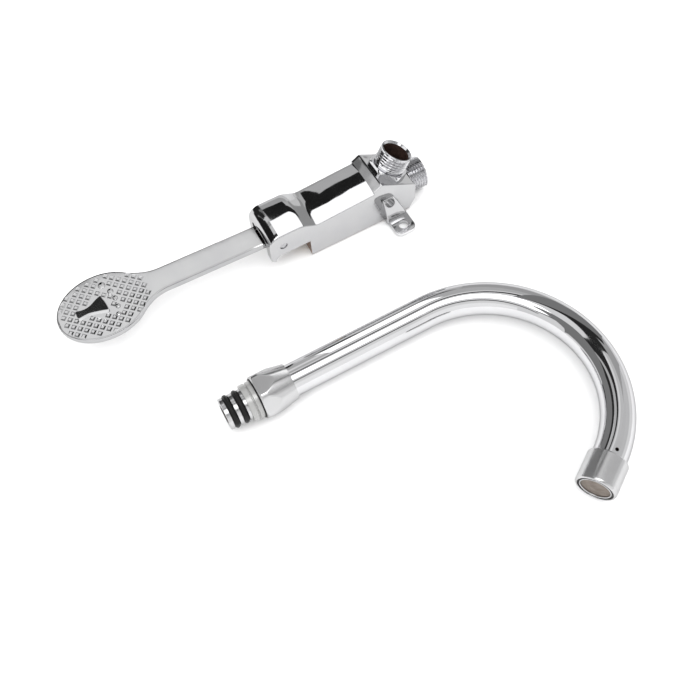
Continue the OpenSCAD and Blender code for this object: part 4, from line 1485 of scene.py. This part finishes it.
@dataclass
class Spout:
    """The swan-neck tube with its tail, rings, coupling nut and aerator.

    Places on the straight run are measured from the bend's start, and those on the outlet from its end.
    """

    start_x: float = -1.6
    off_y: float = -96.0
    axis_z: float = 13.2
    run: float = 106.4
    bend_r: float = 71.0
    turn: float = 147.5
    tube_r: float = 9.93
    wall: float = 1.0
    tube_end: float = 7.5
    vent_at: float = -1.6
    vent_r: float = 1.1
    vent_lean: float = 12.0
    # The tail's end, its shoulder, and the end of the plug that sits in the tube
    tail_x: Triple = (-133.6, -106.5, -96.5)
    tail_r: float = 9.7
    tail_bore: float = 5.5
    plug_r: float = 8.98
    groove_r: float = 7.18
    groove_half: float = 1.76
    ring_at: Pair = (-129.4, -123.4)
    ring_r: float = 8.8
    ring_wire: float = 1.6
    glide_x: Pair = (-119.8, -106.5)
    glide_r: Pair = (9.72, 11.5)
    # Start, end and radius of the glide ring's groove
    glide_groove: Triple = (-116.4, -115.5, 10.6)
    seal_r: Pair = (11.8, 12.45)
    seal_x: Pair = (-113.0, -110.8)
    nut_x: Pair = (-112.4, -90.9)
    nut_af: float = 26.4
    # Where the nut's cone starts behind its mouth, its radius there, and its slope
    nut_cone: Triple = (5.0, 14.5, 0.2)
    nut_cone_soft: float = 0.4
    # Radii of the nut's mouth and rear end, and how fast the two ends round off
    nut_end_r: Pair = (12.7, 11.2)
    nut_end_round: Pair = (1.63156, 1.5)
    nut_blend: float = 0.12
    # The nut's stepped bore, as distance behind the mouth up to which a radius holds
    nut_bore: tuple[Pair, ...] = ((1.7, 12.5), (6.3, 11.8), (21.5, 10.3))
    nut_bore_edge: float = 0.05
    mesh_at: float = 19.4
    mesh_r: float = 9.3
    mesh_step: float = 0.85
    mesh_wire: float = 0.2
    mesh_wave: float = 0.16
    backing_r: float = 9.55

    def straight(self) -> Matrix:
        """Gives the placement of the straight run, along +X from the bend's start."""
        return unit_frame((self.start_x, self.off_y, self.axis_z), (1, 0, 0))

    def bend(self, turn: float) -> Matrix:
        """Gives a placement on the bend, along the water's way.

        Args:
            turn: how far the bend has turned there, in degrees.

        Returns:
            The placement.
        """
        a = math.radians(90 - turn)
        x = self.start_x + self.bend_r * math.cos(a)
        y = self.off_y - self.bend_r + self.bend_r * math.sin(a)
        return unit_frame((x, y, self.axis_z), (math.sin(a), -math.cos(a), 0))

    def mouth(self) -> Matrix:
        """Gives the placement of the outlet end, along the water's way."""
        return self.bend(self.turn)

    def path(self, run_steps: int = 12, bend_steps: int = 75) -> list[Matrix]:
        """Gives placements along the tube's middle line.

        Args:
            run_steps: placements on the straight run.
            bend_steps: steps round the bend.

        Returns:
            The placements in order.
        """
        places = [self.straight() @ Matrix.Translation((0, 0, -self.run * (1 - k / run_steps)))
                  for k in range(run_steps)]
        places += [self.bend(self.turn * k / bend_steps) for k in range(bend_steps + 1)]
        return places + [self.mouth() @ Matrix.Translation((0, 0, self.tube_end))]

    def tube(self) -> Piece:
        """Makes the bent tube with its vent hole.

        Returns:
            The piece, in millimetres.
        """
        outer, inner = ([turned([(radius, 0)], place, 72)[0] for place in self.path()]
                        for radius in (self.tube_r, self.tube_r - self.wall))
        draft = Draft()
        draft.shell(outer + inner[::-1], [Side.OUTER] * len(outer) + [Side.INNER] * len(inner))
        piece = draft.solid("bent_tube")
        lean = Matrix.Rotation(math.radians(-self.vent_lean), 4, "Z")
        aside = lean @ Matrix.Rotation(math.radians(90), 4, "Y")
        vent = self.mouth() @ Matrix.Translation((0, 0, self.vent_at)) @ aside
        return work(piece, prism("vent", disc(self.vent_r, 24), 4.0, 14.0, vent, side=Side.INNER), Cut.REMOVE)

    def nut_r(self, angle: float, along: float) -> float:
        """Gives the outside of the nut: flats under a cone, with rounded ends and soft edges between them.

        Args:
            angle: the angle round the axis.
            along: the distance from the nut's mouth.

        Returns:
            The radius.
        """
        cone_from, cone_r, slope = self.nut_cone
        side = hexagon(self.nut_af / 2, angle)
        length = self.nut_x[1] - self.nut_x[0]
        front, rear = (r + k * math.sqrt(max(0.0, d)) for r, k, d in
                       zip(self.nut_end_r, self.nut_end_round, (along, length - along)))
        cap = min(cone_r - slope * knee(along - cone_from, self.nut_cone_soft), front, rear)
        near = max(0.0, self.nut_blend - abs(side - cap)) / self.nut_blend
        return min(side, cap) - near * near * self.nut_blend / 4

    def nut(self, count: int = 180) -> Piece:
        """Makes the tapered hex nut with its chamfered mouth.

        Args:
            count: points in each ring.

        Returns:
            The piece, in millimetres.
        """
        place, mouth = self.straight(), self.nut_x[0]
        offsets = [0, 0.15, 0.35, 0.6, 0.9, 1.3, 2, 3, 4, 4.6, 5, *(5.4 + 0.6 * k for k in range(13)),
                   13.4, 15, 17, 19, 20.4, 20.9, 21.2, 21.4, 21.5]
        rings = [spun(place, mouth + d, lambda a, d=d: self.nut_r(a, d), count) for d in offsets]
        (lip, lip_r), (seat, seat_r), (rear, bore_r) = self.nut_bore
        edge = self.nut_bore_edge
        bore = [(lip_r, 0.0), (lip_r, lip), (seat_r, lip + edge), (seat_r, seat), (bore_r, seat + edge),
                (bore_r, rear)]
        rings += turned([(r, mouth + d) for r, d in reversed(bore)], place, count)
        draft = Draft()
        draft.shell(rings)
        return draft.solid("hex_coupling")

    def wire(self, place: Matrix, row: int, lay: int) -> list[Ring]:
        """Bends one wire of the mesh over and under the wires that cross it.

        Args:
            place: the mesh's placement.
            row: the wire's number from the middle.
            lay: 0 for wires along the first direction, 1 for those along the second.

        Returns:
            The wire's rings.
        """
        step = self.mesh_step
        half = math.sqrt(max(0.0, self.mesh_r ** 2 - (row * step) ** 2))
        count = max(4, int(half * 2 / (step / 2)))
        rings: list[Ring] = []
        for k in range(count + 1):
            t = -half + 2 * half * k / count
            lift = self.mesh_wave * math.cos(math.pi * (t / step + row + lay))
            ring: Ring = []
            for side, up in disc(self.mesh_wire, 5):
                across = row * step + side
                flat = (across, t) if lay else (t, across)
                ring.append(place @ Vector((*flat, lift + up)))
            rings.append(ring)
        return rings

    def mesh(self) -> Piece:
        """Weaves the aerator's wire mesh on its thin backing.

        Returns:
            The piece, in millimetres.
        """
        place = self.mouth() @ Matrix.Translation((0, 0, self.mesh_at))
        rows = int(self.mesh_r / self.mesh_step)
        draft = Draft()
        for lay in (0, 1):
            for row in range(-rows, rows + 1):
                draft.index.clear()
                draft.loft(self.wire(place, row, lay))
        backing = turned_solid("backing", washer(CORE, self.backing_r, -0.2, -0.1), place, 48, 0.02)
        return merged("outlet_mesh", [draft.solid("wires"), backing])

    def tail_section(self) -> list[Pair]:
        """Gives the section of the tail with its two ring grooves and its plug.

        Returns:
            Radius and place of its corners.
        """
        start, shoulder, end = self.tail_x
        section = [(self.tail_bore, start), (self.tail_r, start)]
        for middle in self.ring_at:
            low, high = middle - self.groove_half, middle + self.groove_half
            section += [(self.tail_r, low), (self.groove_r, low), (self.groove_r, high), (self.tail_r, high)]
        section += [(self.tail_r, shoulder), (self.plug_r, shoulder)]
        section += [(self.plug_r, end), (self.tail_bore, end)]
        return section

    def tail_rings(self) -> Piece:
        """Makes the tail's two rubber rings of round section.

        Returns:
            The rings as one piece, in millimetres.
        """
        rings: list[Piece] = []
        for k, middle in enumerate(self.ring_at):
            section = [(self.ring_r + out, middle + along) for out, along in disc(self.ring_wire, 20)]
            draft = Draft()
            draft.shell(turned(section, self.straight()))
            rings.append(draft.solid(f"tail_ring_{k}"))
        return merged("tail_rings", rings)

    def sleeve(self) -> Piece:
        """Makes the aerator's sleeve, with painted shade on the groove inside its rim.

        Returns:
            The piece, in millimetres.
        """
        outside = [(10.3, 1.5), (11.3, 1.5), (11.8, 2.1), (11.8, 19.5)]
        rim = [(11.35, 20.55), (10.8, 20.9), (10.35, 20.85)]
        groove = [(10.25, 19.75), (9.25, 19.75)]
        inner_rim = [(9.15, 20.6), (8.9, 20.75), (8.4, 20.6), (8.4, 19.75)]
        bore = [(9.62, 19.7), (9.62, 7.8), (10.3, 7.8)]

        # The groove's faces take the near-black finish: painted shade
        def in_groove(p: Pair) -> bool:
            """Tells whether a point of the section lies in the groove."""
            return 9.2 < p[0] < 10.34 and 19.6 < p[1] < 20.6

        section = outside + rim + groove + inner_rim + bore
        return turned_solid("aerator_sleeve", section, self.mouth(), 120, inner=in_groove)

    def build(self) -> None:
        """Makes and dresses every piece of the spout."""
        line = self.straight()
        # The tube's inside takes the bore brass with painted shade
        finished(self.tube(), "spout", [TUBE_CHROME, BORE_BRASS_SHADED], "spout_tube")
        bore_r = self.tail_bore + 0.1
        tail = turned_solid("ring_tail", self.tail_section(), line, soft=0.35, inner=lambda p: p[0] < bore_r)
        # The tail's bore takes the bore brass with painted shade
        finished(tail, "spout", [NUT_CHROME, BORE_BRASS_SHADED], "spout_tail")
        finished(self.tail_rings(), "spout", [SEAL_RUBBER], "tail_o_rings", 60)
        (start, end), (inner, outer), (low, high, groove_r) = self.glide_x, self.glide_r, self.glide_groove
        collar = [(inner, start), (outer, start), (outer, low), (groove_r, low), (groove_r, high),
                  (outer, high), (outer, end), (inner, end)]
        glide = turned_solid("glide_collar", collar, line, soft=0.45)
        finished(glide, "spout", [PALE_RING], "glide_ring")
        seal = turned_solid("mouth_seal", washer(*self.seal_r, *self.seal_x), line, soft=0.25)
        finished(seal, "nut", [SEAL_RUBBER], "nut_seal")
        finished(self.nut(), "nut", [NUT_CHROME], "coupling_nut", 28)
        # The sleeve's groove takes the painted shade finish
        finished(self.sleeve(), "aerator", [NUT_CHROME, GROOVE_SHADE], "aerator_housing")
        finished(self.mesh(), "aerator", [MESH_WIRE], "aerator_screen", 60)


# Studio

DOWN: Triple = (0, 0, -1)
FRONT: Triple = (0, -1, 0)
BACK: Triple = (0, 1, 0)
EAST: Triple = (1, 0, 0)
WEST: Triple = (-1, 0, 0)
# The corners of a square, in the order that makes a face
SQUARE = ((-1, -1), (1, -1), (1, 1), (-1, 1))


@dataclass(frozen=True)
class Card:
    """A glowing card that only polished metal sees, and only from its front.

    Its middle and its size, along its length and across, are in metres. It looks one way, and its length runs
    along another.
    """

    name: str
    middle: Triple
    size: Pair
    looks: Triple
    along: Triple
    grey: float
    strength: float = 1.0

    def glow(self) -> bpy.types.Material:
        """Makes the card's material, which is clear from behind.

        Returns:
            The material.
        """
        material = bpy.data.materials.new(self.name)
        material.use_nodes = True
        tree = material.node_tree
        tree.nodes.clear()
        light = {"Color": (self.grey, self.grey, self.grey, 1), "Strength": self.strength}
        glow = add_node(tree, "ShaderNodeEmission", light)
        clear = add_node(tree, "ShaderNodeBsdfTransparent")
        side = add_node(tree, "ShaderNodeNewGeometry")
        mix = add_node(tree, "ShaderNodeMixShader")
        out = add_node(tree, "ShaderNodeOutputMaterial")
        wire_up(tree, (side.outputs["Backfacing"], mix.inputs["Fac"]), (glow.outputs[0], mix.inputs[1]),
                (clear.outputs[0], mix.inputs[2]), (mix.outputs[0], out.inputs["Surface"]))
        return material

    def hang(self) -> None:
        """Makes the card and puts it into the scene, unseen by the camera, by diffuse light and by shadows.
        """
        first = Vector(self.along).normalized()
        second = Vector(self.looks).normalized().cross(first)
        length, width = first * (self.size[0] / 2), second * (self.size[1] / 2)
        corners = [Vector(self.middle) + length * a + width * b for a, b in SQUARE]
        mesh = bpy.data.meshes.new(self.name)
        mesh.from_pydata([tuple(c) for c in corners], [], [(0, 1, 2, 3)])
        mesh.materials.append(self.glow())
        card = linked(self.name, mesh)
        card.visible_camera = False
        card.visible_diffuse = False
        card.visible_shadow = False


CARDS = (
    Card("white over the valve", (-0.0065, -0.015, 0.10), (0.087, 0.09), DOWN, EAST, 1.0, 2.1),
    Card("dark over the valve", (0.025, 0.053, 0.10), (0.131, 0.046), DOWN, EAST, 0.02),
    Card("dark over the hood", (-0.0215, 0.106, 0.10), (0.038, 0.06), DOWN, EAST, 0.02),
    Card("grey over the valve", (0.0435, 0.113, 0.10), (0.092, 0.074), DOWN, EAST, 0.74),
    Card("grey beside the valve", (0.30, 0.125, 0.215), (0.55, 0.27), WEST, BACK, 0.5),
    Card("dark before the hood", (-0.10, 0.02, 0.078), (0.08, 0.084), EAST, BACK, 0.02),
    Card("low dark behind the tread", (-0.215, 0.30, 0.09), (0.37, 0.12), FRONT, EAST, 0.03),
    Card("high dark behind the tread", (-0.17, 0.30, 0.26), (0.14, 0.22), FRONT, EAST, 0.03),
    Card("white behind the tread", (-0.16, 0.30, 0.49), (0.48, 0.22), FRONT, EAST, 1.0),
    Card("dark grey behind", (-0.47, 0.90, 0.55), (1.06, 0.8), FRONT, EAST, 0.27),
    Card("dark grey beside the bend", (0.105, -0.118, 0.0625), (0.21, 0.065), FRONT, EAST, 0.27),
    Card("black beside the bend", (0.105, -0.118, 0.11), (0.21, 0.03), FRONT, EAST, 0.03),
    Card("dark grey in the crook", (-0.055, -0.15, 0.08), (0.17, 0.10), FRONT, EAST, 0.27),
    Card("dark grey by the run", (0.004, -0.106, 0.08), (0.088, 0.10), EAST, BACK, 0.27),
    Card("grey over the bend", (0.60, -0.50, 0.80), (0.64, 0.8), DOWN, EAST, 0.72),
    Card("dark line over the tube", (0.0, -0.0545, 0.30), (0.6, 0.035), DOWN, EAST, 0.03),
    Card("grey ceiling", (0.0, 0.95, 0.9), (3.2, 1.5), (0, -0.7, -0.7), EAST, 0.62),
    Card("grey east wall", (0.90, 0.0, 1.275), (3.2, 1.85), WEST, BACK, 0.75),
    Card("dark west wall", (-1.0, 0.2, 1.45), (1.6, 1.3), EAST, BACK, 0.2),
    Card("dark rail", (0.0, -0.78, 0.80), (3.0, 0.10), (0, 0.7, -0.7), EAST, 0.03),
    Card("bright wall", (0.0, -1.4, 0.38), (3.0, 0.75), BACK, EAST, 1.0, 1.25),
)


@dataclass
class Studio:
    """Floor, lamp, cards and camera, in metres."""

    eye: Triple = (-0.1706, -0.3627, 0.5250)
    ahead: Triple = (0.1961, 0.4656, -0.8630)
    roll: float = -0.12
    sensor: float = 36.0
    focal_px: float = 1000.0
    frame_px: float = 680.0
    lamp_at: Triple = (-0.05, -0.36, 1.0)
    lamp_aim: Triple = (-0.05, -0.12, 0.0)
    lamp_size: Pair = (1.9, 0.42)
    lamp_watts: float = 6.0
    floor_half: float = 3.0
    floor_z: float = -0.0006
    floor_grey: float = 0.93
    room_light: float = 1.3

    def camera(self) -> None:
        """Sets the camera at the photograph's viewpoint."""
        data = bpy.data.cameras.new("camera")
        data.sensor_width = self.sensor
        data.lens = self.sensor * self.focal_px / self.frame_px
        data.clip_start = 0.01
        ahead = Vector(self.ahead).normalized()
        right = ahead.cross(Vector((0, 0, 1))).normalized()
        up = right.cross(ahead)
        rolled_right = right * math.cos(self.roll) + up * math.sin(self.roll)
        rolled_up = up * math.cos(self.roll) - right * math.sin(self.roll)
        turn = Matrix((rolled_right, rolled_up, -ahead)).transposed().to_4x4()
        view = linked("camera", data)
        view.matrix_world = Matrix.Translation(self.eye) @ turn
        bpy.context.scene.camera = view

    def lamp(self) -> None:
        """Hangs the softbox overhead."""
        data = bpy.data.lights.new("overhead softbox", "AREA")
        data.shape = "RECTANGLE"
        data.size, data.size_y = self.lamp_size
        data.energy = self.lamp_watts
        lamp = linked("overhead softbox", data)
        lamp.location = self.lamp_at
        beam = Vector(self.lamp_aim) - Vector(self.lamp_at)
        lamp.rotation_euler = beam.to_track_quat("-Z", "Y").to_euler()

    def floor(self) -> None:
        """Lays the pale floor."""
        mesh = bpy.data.meshes.new("floor")
        corners = [(self.floor_half * a, self.floor_half * b, 0) for a, b in SQUARE]
        mesh.from_pydata(corners, [], [(0, 1, 2, 3)])
        material = bpy.data.materials.new("pale floor")
        material.use_nodes = True
        shader = material.node_tree.nodes["Principled BSDF"].inputs
        shader["Base Color"].default_value = (self.floor_grey, self.floor_grey, self.floor_grey, 1)
        shader["Roughness"].default_value = 0.85
        shader["Specular IOR Level"].default_value = 0.1
        mesh.materials.append(material)
        floor = linked("floor", mesh)
        floor.location.z = self.floor_z

    def world(self) -> None:
        """Makes the surroundings, which the camera and polished metal see as plain white."""
        world = bpy.data.worlds.new("white room")
        bpy.context.scene.world = world
        world.use_nodes = True
        tree = world.node_tree
        back = tree.nodes["Background"].inputs
        back["Color"].default_value = (1, 1, 1, 1)
        path = add_node(tree, "ShaderNodeLightPath").outputs
        seen, seen_through = (add_node(tree, "ShaderNodeMath") for _ in range(2))
        seen.operation = "MAXIMUM"
        seen_through.operation = "MAXIMUM"
        level = add_node(tree, "ShaderNodeMapRange", {"To Min": self.room_light, "To Max": 1.0})
        wire_up(tree, (path["Is Camera Ray"], seen.inputs[0]), (path["Is Glossy Ray"], seen.inputs[1]),
                (seen.outputs[0], seen_through.inputs[0]),
                (path["Is Transmission Ray"], seen_through.inputs[1]),
                (seen_through.outputs[0], level.inputs["Value"]), (level.outputs["Result"], back["Strength"]))

    def build(self) -> None:
        """Sets up camera, floor, surroundings, lamp and cards."""
        self.camera()
        self.floor()
        self.world()
        self.lamp()
        for card in CARDS:
            card.hang()


def dress_inside() -> None:
    """Gives the solids that stay as they are their finishes."""
    inside = {
        WHITE_PLASTIC: ("lever_bush", "aerator_insert"),
        SEAL_RUBBER: ("gland_seal", "stem_o_rings", "valve_disc", "inlet_seal", "aerator_washer"),
        TURNED_BRASS: ("valve_seat", "disc_holder", "disc_nut"),
        DRAWN_STEEL: ("inlet_strainer",),
    }
    for finish, nodes in inside.items():
        for node in nodes:
            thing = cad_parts[node]
            thing.data.materials.clear()
            thing.data.materials.append(finish.material())
            LOG.info("%s keeps its solid, in %s", node, finish.name)


def main() -> None:
    """Builds the scene."""
    logging.basicConfig(level=logging.INFO, format="%(name)s %(message)s")
    bpy.context.scene.view_settings.view_transform = "Standard"
    Studio().build()
    PedalValve().build()
    Spout().build()
    dress_inside()
    bpy.context.view_layer.update()


if __name__ == "__main__":
    main()
